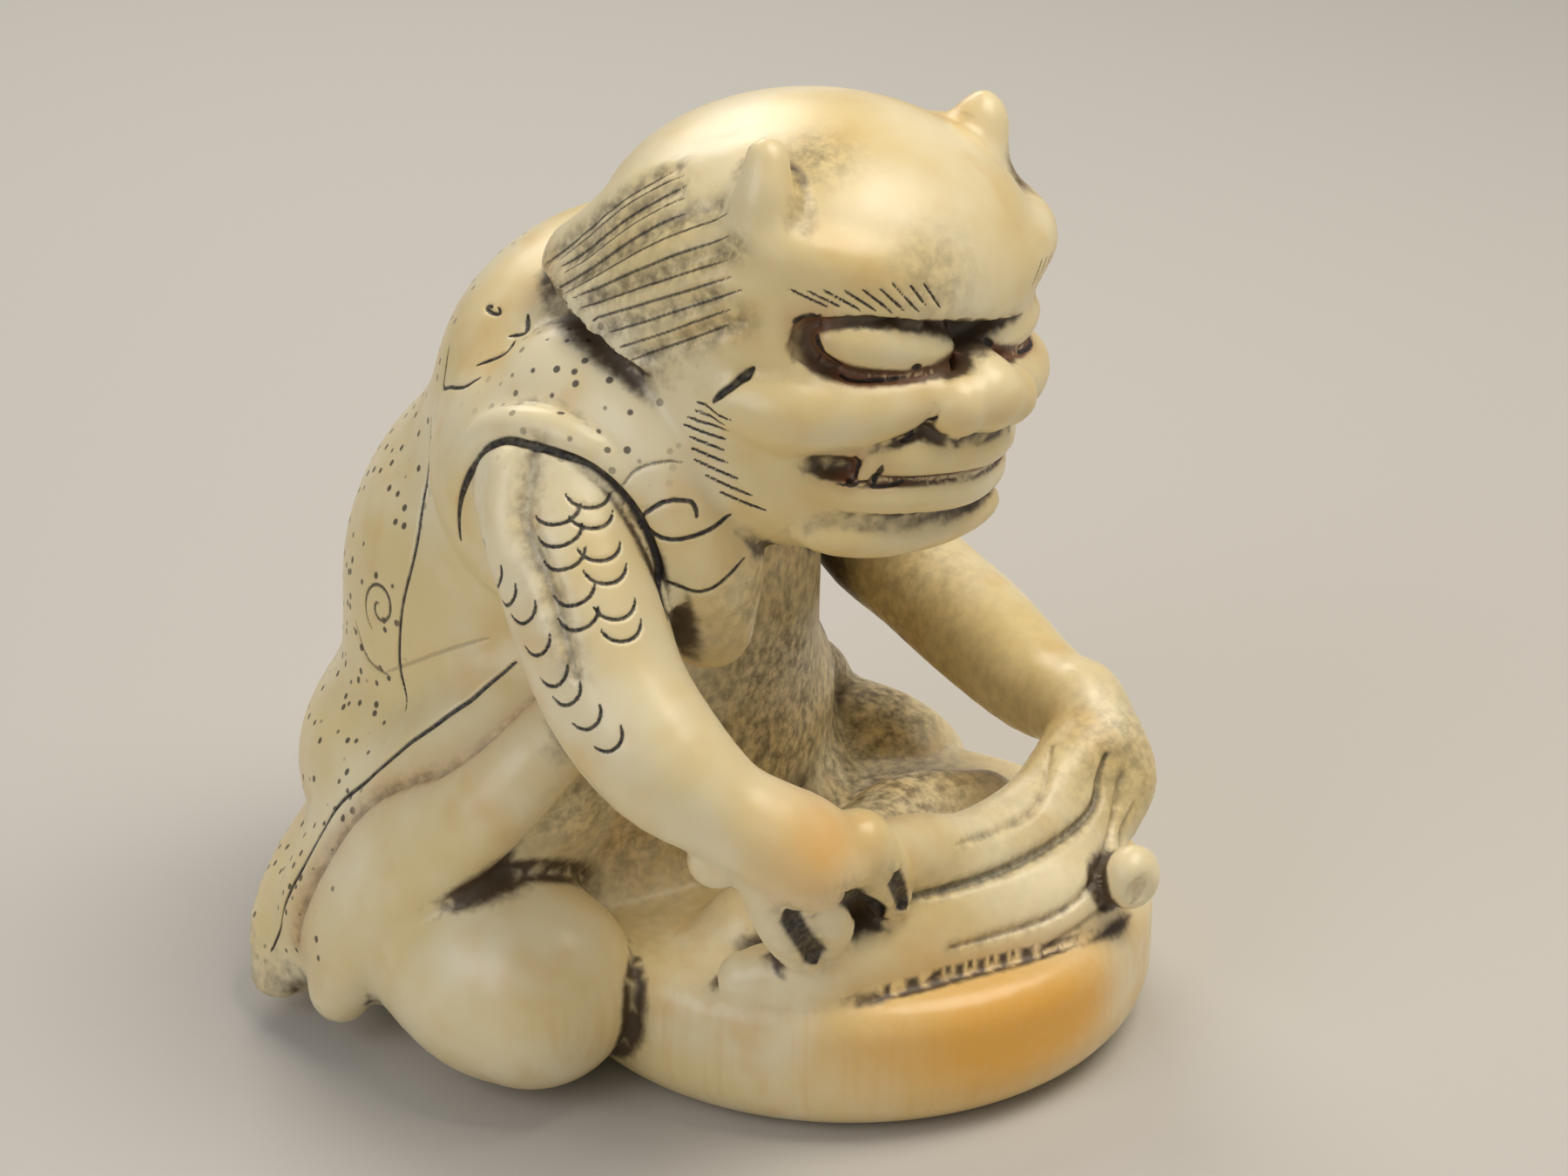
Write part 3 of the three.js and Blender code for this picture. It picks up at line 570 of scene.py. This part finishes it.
def faceCuts():
    # Brow and cheek hatching, the mouth line, nostril crease and the wedge behind the jaw, each on
    # both sides of the face.
    for side in (1, -1):
        flip = np.array([side, 1, 1])
        hatch(np.array([(-7.1, -3.5, 3.1), (-5.4, -5.2, 3.7), (-3.5, -6.3, 4.1)]) * flip,
              np.array([(-6.1, -4.8, 2.75), (-4.4, -6.2, 2.95), (-2.8, -6.8, 3.3)]) * flip,
              9, 4, width=0.055, depth=0.05, ink=0.75, onHead=True)
        hatch(np.array([(-8.2, -1.9, -2.0), (-8.1, -1.9, -3.3), (-7.5, -3.1, -4.8)]) * flip,
              np.array([(-8.0, -3.4, -1.9), (-7.6, -3.2, -3.3), (-6.5, -4.7, -5.1)]) * flip,
              9, 7, width=0.06, depth=0.05, ink=0.85, onHead=True)
        cut(np.array([(-7.8, -3.6, 0.0), (-8.3, -3.2, -0.5), (-8.2, -2.6, -1.6)]) * flip, width=0.2, depth=0.2,
            ink=0.8, onHead=True)
        cut(np.array([(-3.0, -7.1, -1.9), (-2.7, -7.4, -1.3), (-2.45, -7.9, -0.5)]) * flip, width=0.1, depth=0.12,
            ink=0.95, onHead=True)
        cut(np.array([(-6.3, -4.7, 1.5), (-5.6, -5.6, 0.6), (-4.0, -6.4, 0.3), (-2.3, -6.8, 0.5),
                      (-1.0, -6.8, 1.1)]) * flip, width=0.11, depth=0.06, ink=0.8, rust=1.0, onHead=True)
        cut(np.array([(-6.5, -4.9, 2.4), (-6.7, -4.6, 1.6), (-6.2, -5.1, 0.9)]) * flip, width=0.2, depth=0.1,
            ink=0.9, rust=0.8, onHead=True)
        cut(np.array([(-4.4, -6.4, -2.6), (-4.4, -6.4, -3.5)]) * flip, width=0.14, depth=0.1, ink=0.95, rust=1.0,
            onHead=True)
        cut(np.array([(-3.6, -6.9, -2.6), (-3.6, -6.9, -3.4)]) * flip, width=0.14, depth=0.1, ink=0.95, rust=0.6,
            onHead=True)
    cut(across([(-4.9, -6.4, -3.5), (-4.0, -7.1, -3.4), (-2.2, -8.1, -3.1), (0, -8.6, -2.85)]), width=0.09,
        depth=0.05, ink=0.75, rust=0.5, onHead=True)
    for pupil in ((-3.1, -6.8, 1.05), (0.9, -6.6, 1.3)):
        cut([pupil, np.array(pupil) + (0.12, -0.02, -0.04)], width=0.17, depth=0.1, ink=1.0, onHead=True, taper=0)


def hairCuts():
    # Six shallow stained valleys down each side of the hair, with fine strands between them.
    for side in (1, -1):
        flip = np.array([side, 1, 1])
        roots = np.array([(-6.9, 2.9, 4.3), (-7.6, 0.7, 4.4), (-8.0, -1.6, 3.0), (-7.8, -2.6, 1.4)]) * flip
        tips = np.array([(-7.5, 6.6, -0.5), (-8.4, 5.5, -0.8), (-8.5, 3.6, -1.2), (-8.7, 0.6, -1.4)]) * flip
        hatch(roots, tips, 6, 11, width=0.38, depth=0.2, ink=0.1, stain=0.9, onHead=True)
        hatch(roots, tips, 12, 12, width=0.07, depth=0.06, ink=0.6, onHead=True)


def handCuts():
    # Stained wedges between the fingers and the folds of the cloth they hold.
    for start, end in (((-10.9, -13.6, 11.0), (-8.2, -13.0, 7.4)), ((-9.2, -14.6, 11.6), (-5.9, -14.0, 8.4)),
                       ((-6.6, -15.0, 11.2), (-5.0, -14.6, 8.8))):
        cut([start, (np.array(start) + end) / 2, end], width=0.46, depth=0.34, ink=0.95, stain=0.5, taper=1.0)
    cut([(-4.9, -14.5, 8.9), (0.4, -15.5, 8.7), (4.9, -15.8, 9.1), (6.7, -15.3, 10.7)], width=0.24, depth=0.3,
        ink=0.45, stain=0.8)
    cut([(-3.4, -15.5, 6.8), (1.5, -16.9, 6.9), (5.2, -16.6, 8.2), (7.0, -15.9, 10.0)], width=0.2, depth=0.2,
        ink=0.3, stain=0.7)
    cut([(0.5, -17.2, 5.9), (4.2, -17.4, 6.8), (7.2, -16.4, 8.8)], width=0.18, depth=0.16, ink=0.3, stain=0.6)
    cut([(-2.0, -14.6, 10.2), (2.5, -14.8, 9.9), (5.4, -13.6, 11.0)], width=0.18, depth=0.16, ink=0.25, stain=0.6)


def robeCuts():
    # The seam down the back, the belt edge, cloud scrolls and the lines on the sleeve front.
    cut([(-7.5, 5.5, 23.8), (-8.7, 5.3, 21.4), (-9.7, 4.9, 19.2), (-9.8, 5.1, 16.8), (-9.8, 5.2, 14.6),
         (-10.6, 4.7, 13.2)], width=0.08, depth=0.1, ink=0.75)
    cut([(-9.3, 0.2, 16.0), (-10.9, 1.5, 14.5), (-11.8, 3.0, 13.0), (-12.4, 4.9, 11.0), (-12.7, 6.6, 9.1),
         (-13.8, 7.6, 6.1), (-13.6, 9.1, 2.8)], width=0.13, depth=0.18, ink=0.85)
    cut([(-9.9, 6.0, 14.2), (-10.1, 3.6, 15.6), (-9.9, 1.2, 16.8)], width=0.12, depth=0.05, ink=0.35)
    cut([(-10.3, -1.5, 15.4), (-12.3, 0, 13.4), (-13.1, 4.4, 10.4), (-14.0, 6.3, 7.3), (-14.6, 7.0, 4.2)],
        width=0.26, depth=0.3, ink=0.3, rust=0.6, stain=0.6)
    cut(robe["armhole"] + np.array([(-0.7, -0.4, -0.4)]), width=0.16, depth=0.15, ink=0.9)
    scroll((-6.9, 3.0, 28.4), (-0.4, -0.9, 0.1), (-0.4, 0.2, 0.9), 0.7, 1.0, 60, width=0.09, ink=0.85)
    cut([(-7.4, 1.3, 29.3), (-7.9, 0.9, 28.7), (-7.8, 1.4, 28.0)], width=0.1, ink=0.9)
    cut([(-8.0, 0.9, 27.9), (-8.3, 0.7, 27.2), (-8.2, 1.7, 26.2)], width=0.1, ink=0.9)
    cut([(-7.3, 4.5, 26.6), (-7.9, 3.9, 25.4), (-8.5, 3.0, 25.6), (-8.9, 1.9, 25.8), (-8.9, 1.2, 26.3)],
        width=0.09, ink=0.8)
    scroll((-9.9, 6.4, 16.7), (-0.1, -1.0, 0), (0, 0, 1.0), 1.15, 1.4, 100, width=0.09, ink=0.6)
    cut([(-9.2, 8.2, 15.4), (-9.6, 7.3, 14.3), (-9.9, 5.8, 14.1)], width=0.09, ink=0.5)
    cut([(-9.0, -6.3, 23.5), (-8.8, -6.8, 24.2), (-8.5, -7.4, 24.1), (-8.4, -7.5, 23.7)], width=0.09, ink=0.9)
    cut([(-9.0, -6.3, 23.4), (-8.8, -7.0, 23.0), (-8.3, -7.8, 23.2), (-7.7, -8.3, 23.6)], width=0.09, ink=0.9)
    cut([(-9.6, -5.4, 24.4), (-9.0, -6.0, 25.3), (-8.6, -7.2, 25.5)], width=0.08, ink=0.5)
    cut([(-8.9, -7.0, 21.6), (-8.3, -7.8, 21.2), (-7.4, -8.6, 22.0)], width=0.08, ink=0.8)
    scroll((5.6, 12.2, 21.0), (1, 0, 0), (0, -0.3, 1.0), 1.2, 1.4, 30, width=0.09, ink=0.6)
    scroll((-1.5, 13.4, 14.5), (1, 0, 0), (0, 0, 1.0), 1.2, 1.4, 200, width=0.09, ink=0.6)


def armCuts():
    crescents(arms["near"][0], ((0.3, 1.5, 6, (97, 88), 0.75), (0.4, 1.3, 5, (72, 60), 0.75), (0.2, 0.9, 4, (-4, 8), 0.6),
               (1.1, 2.5, 6, (18, 24), 0.65)), 2.8, width=0.075, depth=0.08, ink=0.85)
    cut([(-11.2, -2.9, 26.0), (-12.2, -3.3, 24.8), (-12.9, -3.8, 23.6), (-13.6, -5.4, 21.9), (-14.3, -7.0, 19.4)],
        width=0.4, depth=0.3, ink=0.3, stain=0.7)


faceCuts()
hairCuts()
robeCuts()
armCuts()
handCuts()
print("cuts:", len(cuts), "lines,", round(sum(len(line["path"]) for line in cuts) * 0.2), "mm")


def cutDistance(points):
    # For each point: distance to the nearest line less the line's half width, and the same line's
    # number. Lines whose box is further than reach are skipped.
    reach = 0.9
    gap = np.full(len(points), 9.0)
    for line in cuts:
        path = line["path"]
        near = np.nonzero(((points > path.min(0) - reach) & (points < path.max(0) + reach)).all(1))[0]
        if len(near):
            away = nearestOn(points[near], path)[0] - 0.5 * line["width"]
            gap[near] = np.minimum(gap[near], away)
    return gap


def nearestOn(points, path):
    # Distance from each point to a chain of straight spans, and where along the chain (0 to 1).
    best = np.full(len(points), 1e9)
    place = np.zeros(len(points))
    for number, (start, end) in enumerate(zip(path[:-1], path[1:])):
        step = end - start
        part = np.clip((points - start) @ step / max(step @ step, 1e-12), 0, 1)
        away = np.linalg.norm(points - start - part[:, None] * step, axis=1)
        closer = away < best
        best[closer] = away[closer]
        place[closer] = (number + part[closer]) / (len(path) - 1)
    return best, place


def pressCuts(points):
    # Each line presses a rounded groove: depth times the bell of distance over width, thinner
    # towards its ends; ink and rust take a narrower bell.
    sink, ink, rust, stain = (np.zeros(len(points)) for _ in range(4))
    for line in cuts:
        path, width = line["path"], line["width"]
        reach = 3 * width + 0.05
        near = np.nonzero(((points > path.min(0) - reach) & (points < path.max(0) + reach)).all(1))[0]
        if not len(near):
            continue
        away, place = nearestOn(points[near], path)
        full = 1 - line["taper"] * (1 - np.clip(np.sin(math.pi * place) * 2.2, 0, 1))
        bell = np.exp(-(away / (width * full + 1e-6)) ** 2)
        sink[near] = np.maximum(sink[near], line["depth"] * full * bell)
        ink[near] = np.maximum(ink[near], line["ink"] * np.clip(1.6 * bell - 0.2, 0, 1))
        rust[near] = np.maximum(rust[near], line["rust"] * np.exp(-(away / (width * 3)) ** 2))
        stain[near] = np.maximum(stain[near], line["stain"] * np.exp(-(away / (width * 1.4)) ** 2))
    return sink, ink, rust, stain


# ---- the carved skin --------------------------------------------------------------------------

def liftSkin():
    # The skin on an even grid, then rounds of edge splitting beside the cuts: an edge's need is its
    # length over the length wanted at its distance from a cut. Each split adds two triangles, so
    # the neediest edges go first where the limit doesn't allow all.
    low = np.array(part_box("netsuke")[0]) / mm - 1.6
    high = np.array(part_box("netsuke")[1]) / mm + 1.6
    grid, corner = sampleGrid(low, high, skin["grid"])
    points, squares = surfaceNet(grid, corner, skin["grid"])
    points = settle(points, 1)
    faces = triangles(points, squares)
    print("skin:", len(faces), "triangles before the cuts")
    gap = cutDistance(points)
    for _ in range(skin["rounds"]):
        def wanted(ends):
            length = np.linalg.norm(points[ends[:, 0]] - points[ends[:, 1]], axis=1)
            close = np.maximum(gap[ends].min(1), 0)
            need = length / (skin["grading"] * close + skin["finest"])
            spare = max(skin["mostTriangles"] - len(faces), 0) // 2
            least = np.sort(need)[-1 - spare] if spare < len(need) else 1
            return need > max(least, 1)
        before = len(points)
        points, faces = splitEdges(points, faces, wanted)
        gap = np.concatenate([gap, cutDistance(points[before:])])
    print("skin:", len(faces), "triangles with the cuts")
    return settle(points, 1), faces


def openness(points, out, reach):
    # How open the skin is at a given reach: the depth found that far out, over the reach.
    return np.clip(depthAt(points + out * reach, reach + 0.6) / reach, -0.2, 1)


def bellAt(points, places):
    # Sum of bells: each place is (centre, radius, strength), fading as the squared distance.
    total = np.zeros(len(points))
    for centre, radius, strength in places:
        total += strength * np.exp(-((points - np.array(centre)) ** 2).sum(1) / radius ** 2)
    return np.clip(total, 0, 1)


# Soft tint patches as bells: amber is patina rubbed in by handling; the brown patches sit at listed places, most of
# them under the head and arms and on the far side.
tintPatches = {
    "amber": [((-10.0, -14.0, 13.2), 1.9, 0.75), ((-5.0, -16.6, 3.9), 2.6, 0.7), ((-2.2, -18.2, 3.8), 2.6, 0.9),
              ((0.8, -18.8, 3.8), 2.2, 0.7), ((-7.6, -14.2, 4.0), 2.2, 0.35)],
    "brownPatch": [((-3.6, -9.2, 35.9), 1.3, 0.8), ((-2.9, -13.8, 32.2), 1.7, 0.5), ((8.5, -3.0, 17.0), 3.4, 0.9),
               ((0, -4.0, 14.5), 5.0, 0.6), ((2.0, -5.5, 20.5), 3.5, 0.6), ((10.0, -2.0, 9.0), 3.5, 0.8),
               ((3.0, -8.0, 7.8), 6.0, 0.7), ((-6.4, -9.0, 20.0), 2.0, 0.7), ((7.6, -15.5, 10.5), 2.4, 0.55),
               ((2.0, -3.6, 10.5), 3.5, 0.8), ((10.5, -0.6, 7.4), 3.0, 0.9), ((6.5, -5.0, 6.2), 3.0, 0.8),
               ((-9.6, -2.8, 11.2), 1.8, 0.9), ((-6.5, -3.2, 8.2), 2.2, 0.8), ((-8.6, -5.5, 3.5), 1.5, 0.8)],
}


def carveFigure():
    points, faces = liftSkin()
    out = outward(points)
    # Closed-in mask from openness at 0.35, 0.9 and 2.4 mm: it browns the hollows, partly as stain and partly as painted
    # shade from ambient occlusion.
    fine = openness(points, out, 0.35)
    middle = openness(points, out, 0.9)
    wide = openness(points, out, 2.4)
    hollowStainAndShade = np.clip(1.15 * (1 - fine), 0, 1) * 0.6 + np.clip(1.3 * (1 - middle), 0, 1) * 0.5
    hollowStainAndShade = np.clip(hollowStainAndShade + np.clip(1.2 * (0.75 - wide), 0, 1) * 0.6, 0, 1)
    sink, ink, rust, stain = pressCuts(points)
    points = points - out * sink[:, None]
    points[:, 2] = np.maximum(points[:, 2], 0)
    robeSide = robeShare(points)
    growth = np.clip((6.4 - points[:, 2]) / 1.5, 0, 1) * np.clip((-3 - points[:, 1]) / 3, 0, 1)
    values = {"ink": ink, "rust": rust, "hollowStainAndShade": hollowStainAndShade, "amber": bellAt(points, tintPatches["amber"]),
              "brownPatch": np.maximum(bellAt(points, tintPatches["brownPatch"]), stain), "dots": robeSide, "growth": growth}
    mesh = bpy.data.meshes.new("netsukeCarved")
    mesh.vertices.add(len(points))
    mesh.vertices.foreach_set("co", (points * mm).astype(single).ravel())
    mesh.loops.add(len(faces) * 3)
    mesh.loops.foreach_set("vertex_index", faces.astype(np.int32).ravel())
    mesh.polygons.add(len(faces))
    mesh.polygons.foreach_set("loop_start", np.arange(len(faces), dtype=np.int32) * 3)
    mesh.update(calc_edges=True)
    mesh.validate()
    mesh.polygons.foreach_set("use_smooth", np.ones(len(mesh.polygons), bool))
    for name, value in values.items():
        layer = mesh.attributes.new(name, "FLOAT", "POINT")
        layer.data.foreach_set("value", value.astype(single))
    piece = bpy.data.objects.new("netsukeCarved", mesh)
    bpy.context.scene.collection.objects.link(piece)
    return piece


def robeShare(points):
    # 1 on the robe's back, shoulder yoke and lower band, 0 elsewhere, with soft edges.
    back = np.clip((points[:, 1] - 4.6) / 0.8, 0, 1) * np.clip((points[:, 2] - 2) / 1.5, 0, 1)
    yoke = bellAt(points, [((-8.6, -2.6, 27.2), 2.6, 1.2), ((8.6, -2.6, 26.0), 2.6, 1.2), ((-8.8, -5.0, 26.2), 1.6, 1)])
    return np.clip(np.maximum(back, yoke * 1.5), 0, 1) * np.clip((31 - points[:, 2]) / 1, 0, 1)


# ---- ivory ------------------------------------------------------------------------------------

def colour(hexValue):
    # sRGB hex to linear: divide by 12.92 near black, otherwise the 2.4 power of the shifted value.
    parts = [int(hexValue[i:i + 2], 16) / 255 for i in (1, 3, 5)]
    return [part / 12.92 if part <= 0.04045 else ((part + 0.055) / 1.055) ** 2.4 for part in parts] + [1]


def addNode(tree, kind, links=(), inputs=(), **settings):
    # Adds one node, sets its properties and input values, and links (input, from node, output).
    node = tree.nodes.new("ShaderNode" + kind)
    for name, value in settings.items():
        setattr(node, name, value)
    for name, value in dict(inputs).items():
        node.inputs[name].default_value = value
    for name, source, output in links:
        tree.links.new(source.outputs[output], node.inputs[name])
    return node


# Walrus or elephant ivory, cut by hand, ink-stained and polished by handling: a warm cream body
# with faint growth streaks, honey patches where fingers rub and dark stain with painted shade in the hollows.
ivory = {"cream": "#ead59c", "pale": "#f4e7c0", "honey": "#e2be78", "amber": "#f4b648", "brown": "#463320",
         "ink": "#20170f", "rust": "#b0633a", "roughness": 0.32, "stainRoughness": 0.5, "ior": 1.54,
         "subsurface": 0.22, "subsurfaceReach": 0.0011, "streakSpacing": 0.45, "dotSpacing": 0.7}


def ivoryMaterial():
    material = bpy.data.materials.new("polishedStainedIvory")
    material.use_nodes = True
    tree = material.node_tree
    tree.nodes.clear()
    place = addNode(tree, "TexCoord")

    def noise(size, detail, roughness=0.55):
        # Noise whose largest blotch is about the given size in mm.
        return addNode(tree, "TexNoise", [("Vector", place, "Object")],
                       {"Scale": 1 / (size * mm), "Detail": detail, "Roughness": roughness})

    def math2(operation, first, second, clamp=True):
        # One arithmetic step on two sockets or numbers.
        node = addNode(tree, "Math", operation=operation, use_clamp=clamp)
        for index, value in enumerate((first, second)):
            if isinstance(value, (int, float)):
                node.inputs[index].default_value = value
            else:
                tree.links.new(value, node.inputs[index])
        return node.outputs[0]

    def ramp(value, low, high):
        node = addNode(tree, "MapRange", inputs={"From Min": low, "From Max": high}, interpolation_type="SMOOTHSTEP")
        tree.links.new(value, node.inputs["Value"])
        return node.outputs[0]

    def mixed(share, first, second):
        node = addNode(tree, "Mix", data_type="RGBA")
        for index, value in ((0, share), (6, first), (7, second)):
            if isinstance(value, str):
                node.inputs[index].default_value = colour(value)
            elif isinstance(value, (int, float)):
                node.inputs[index].default_value = value
            else:
                tree.links.new(value, node.inputs[index])
        return node.outputs[2]

    given = {name: addNode(tree, "Attribute", attribute_name=name).outputs["Fac"]
             for name in ("ink", "rust", "hollowStainAndShade", "amber", "brownPatch", "dots", "growth")}
    blotch, grainy, tiny = noise(7, 3), noise(0.5, 4, 0.6), noise(0.25, 3)
    body = mixed(ramp(blotch.outputs["Fac"], 0.38, 0.66), ivory["cream"], ivory["pale"])
    body = mixed(math2("MULTIPLY", ramp(noise(3.2, 2).outputs["Fac"], 0.5, 0.75), 0.55), body, ivory["honey"])
    # growth streaks: stretched noise, thin across and long upwards
    stretch = addNode(tree, "Mapping", [("Vector", place, "Object")], {"Scale": (1, 1, 0.06)})
    streak = addNode(tree, "TexNoise", [("Vector", stretch, "Vector")],
                     {"Scale": 1 / (ivory["streakSpacing"] * mm), "Detail": 2})
    streakShare = math2("MULTIPLY", ramp(streak.outputs["Fac"], 0.45, 0.75), math2("MULTIPLY", given["growth"], 0.35))
    body = mixed(streakShare, body, ivory["honey"])
    amberShare = math2("MULTIPLY", given["amber"], math2("ADD", math2("MULTIPLY", grainy.outputs["Fac"], 0.3), 0.8))
    body = mixed(amberShare, body, ivory["amber"])
    # stain and painted shade in the hollows, and brown patches at listed places, broken up by fine noise
    hollow = ramp(math2("ADD", given["hollowStainAndShade"], math2("MULTIPLY", math2("SUBTRACT", grainy.outputs["Fac"], 0.5, False),
                                                     0.55, False), False), 0.34, 0.95)
    patch = math2("MULTIPLY", given["brownPatch"], ramp(grainy.outputs["Fac"], 0.3, 0.72))
    stain = math2("MAXIMUM", math2("MULTIPLY", hollow, 0.95), math2("MULTIPLY", patch, 0.8))
    body = mixed(stain, body, ivory["brown"])
    # pricked dots on the robe: small cells, inked near their middles
    cells = addNode(tree, "TexVoronoi", [("Vector", place, "Object")],
                    {"Scale": 1 / (ivory["dotSpacing"] * mm), "Randomness": 0.8})
    dot = math2("MULTIPLY", math2("SUBTRACT", 1.0, ramp(cells.outputs["Distance"], 0.16, 0.24)), given["dots"])
    body = mixed(math2("MULTIPLY", given["rust"], 0.4), body, ivory["rust"])
    line = math2("MULTIPLY", ramp(given["ink"], 0.15, 0.7), math2("ADD", math2("MULTIPLY", tiny.outputs["Fac"], 0.5), 0.7))
    dark = math2("MAXIMUM", math2("MULTIPLY", line, 1.0), math2("MULTIPLY", dot, 0.85))
    body = mixed(dark, body, ivory["ink"])
    rough = math2("ADD", ivory["roughness"], math2("MULTIPLY", math2("MAXIMUM", stain, dark),
                                                 ivory["stainRoughness"] - ivory["roughness"]))
    rough = math2("ADD", rough, math2("MULTIPLY", math2("SUBTRACT", grainy.outputs["Fac"], 0.5, False), 0.08, False))
    height = math2("SUBTRACT", math2("MULTIPLY", grainy.outputs["Fac"], 0.25), math2("MULTIPLY", dot, 1.0), False)
    bump = addNode(tree, "Bump", inputs={"Strength": 0.35, "Distance": 0.00006})
    tree.links.new(height, bump.inputs["Height"])
    shader = addNode(tree, "BsdfPrincipled", [("Normal", bump, "Normal")],
                     {"IOR": ivory["ior"], "Subsurface Weight": ivory["subsurface"],
                      "Subsurface Radius": (1.0, 0.62, 0.34), "Subsurface Scale": ivory["subsurfaceReach"]})
    tree.links.new(body, shader.inputs["Base Color"])
    tree.links.new(rough, shader.inputs["Roughness"])
    output = addNode(tree, "OutputMaterial", [("Surface", shader, "BSDF")])
    return material


netsuke = carveFigure()
netsuke.data.materials.append(ivoryMaterial())
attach(netsuke, "root")
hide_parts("netsuke")
print("figure: carved and stained")


# ---- table, light and camera ------------------------------------------------------------------

def matte(name, hexValue, roughness):
    material = bpy.data.materials.new(name)
    material.use_nodes = True
    shader = material.node_tree.nodes["Principled BSDF"]
    shader.inputs["Base Color"].default_value = colour(hexValue)
    shader.inputs["Roughness"].default_value = roughness
    return material


tableTop = {"half": 0.6, "colour": "#c9c6c0", "roughness": 0.75}
corner = tableTop["half"]
tableMesh = bpy.data.meshes.new("table")
tableMesh.from_pydata([(-corner, -corner, 0), (corner, -corner, 0), (corner, corner, 0), (-corner, corner, 0)], [],
                      [(0, 1, 2, 3)])
table = bpy.data.objects.new("table", tableMesh)
bpy.context.scene.collection.objects.link(table)
table.data.materials.append(matte("paleTable", tableTop["colour"], tableTop["roughness"]))

lamps = {
    "overheadLamp": {"place": (0.05, -0.08, 0.21), "size": 0.13, "power": 0.31, "tint": "#fff4e2"},
    "sideLamp": {"place": (-0.20, 0.02, 0.12), "size": 0.14, "power": 0.13, "tint": "#f4f5ff"},
    "backLamp": {"place": (0.10, 0.14, 0.16), "size": 0.12, "power": 0.16, "tint": "#fff8ee"},
}
middle = Vector((0, -0.003, 0.017))
for name, lamp in lamps.items():
    light = bpy.data.lights.new(name, "AREA")
    light.energy, light.size, light.color = lamp["power"], lamp["size"], colour(lamp["tint"])[:3]
    holder = bpy.data.objects.new(name, light)
    bpy.context.scene.collection.objects.link(holder)
    holder.location = lamp["place"]
    holder.rotation_euler = (middle - Vector(lamp["place"])).to_track_quat("-Z", "Y").to_euler()

room = bpy.data.worlds.new("room")
bpy.context.scene.world = room
bpy.context.scene.view_settings.view_transform = "Standard"
room.use_nodes = True
room.node_tree.nodes["Background"].inputs["Color"].default_value = colour("#dfe0e2")
room.node_tree.nodes["Background"].inputs["Strength"].default_value = 0.34

# The camera stands low to the front left, 150 mm from a point beside the chest, with a long lens.
view = {"azimuth": -52, "elevation": 24, "distance": 150, "target": (2.35, -3.16, 15.80), "lens": 90}
around, above = math.radians(view["azimuth"]), math.radians(view["elevation"])
back = Vector((math.sin(around) * math.cos(above), -math.cos(around) * math.cos(above), math.sin(above)))
camera = bpy.data.cameras.new("camera")
camera.lens = view["lens"]
camera.clip_start = 0.005
holder = bpy.data.objects.new("camera", camera)
bpy.context.scene.collection.objects.link(holder)
holder.location = (Vector(view["target"]) + view["distance"] * back) * mm
holder.rotation_euler = (-back).to_track_quat("-Z", "Y").to_euler()
bpy.context.scene.camera = holder
print("stage: table, lights and camera")
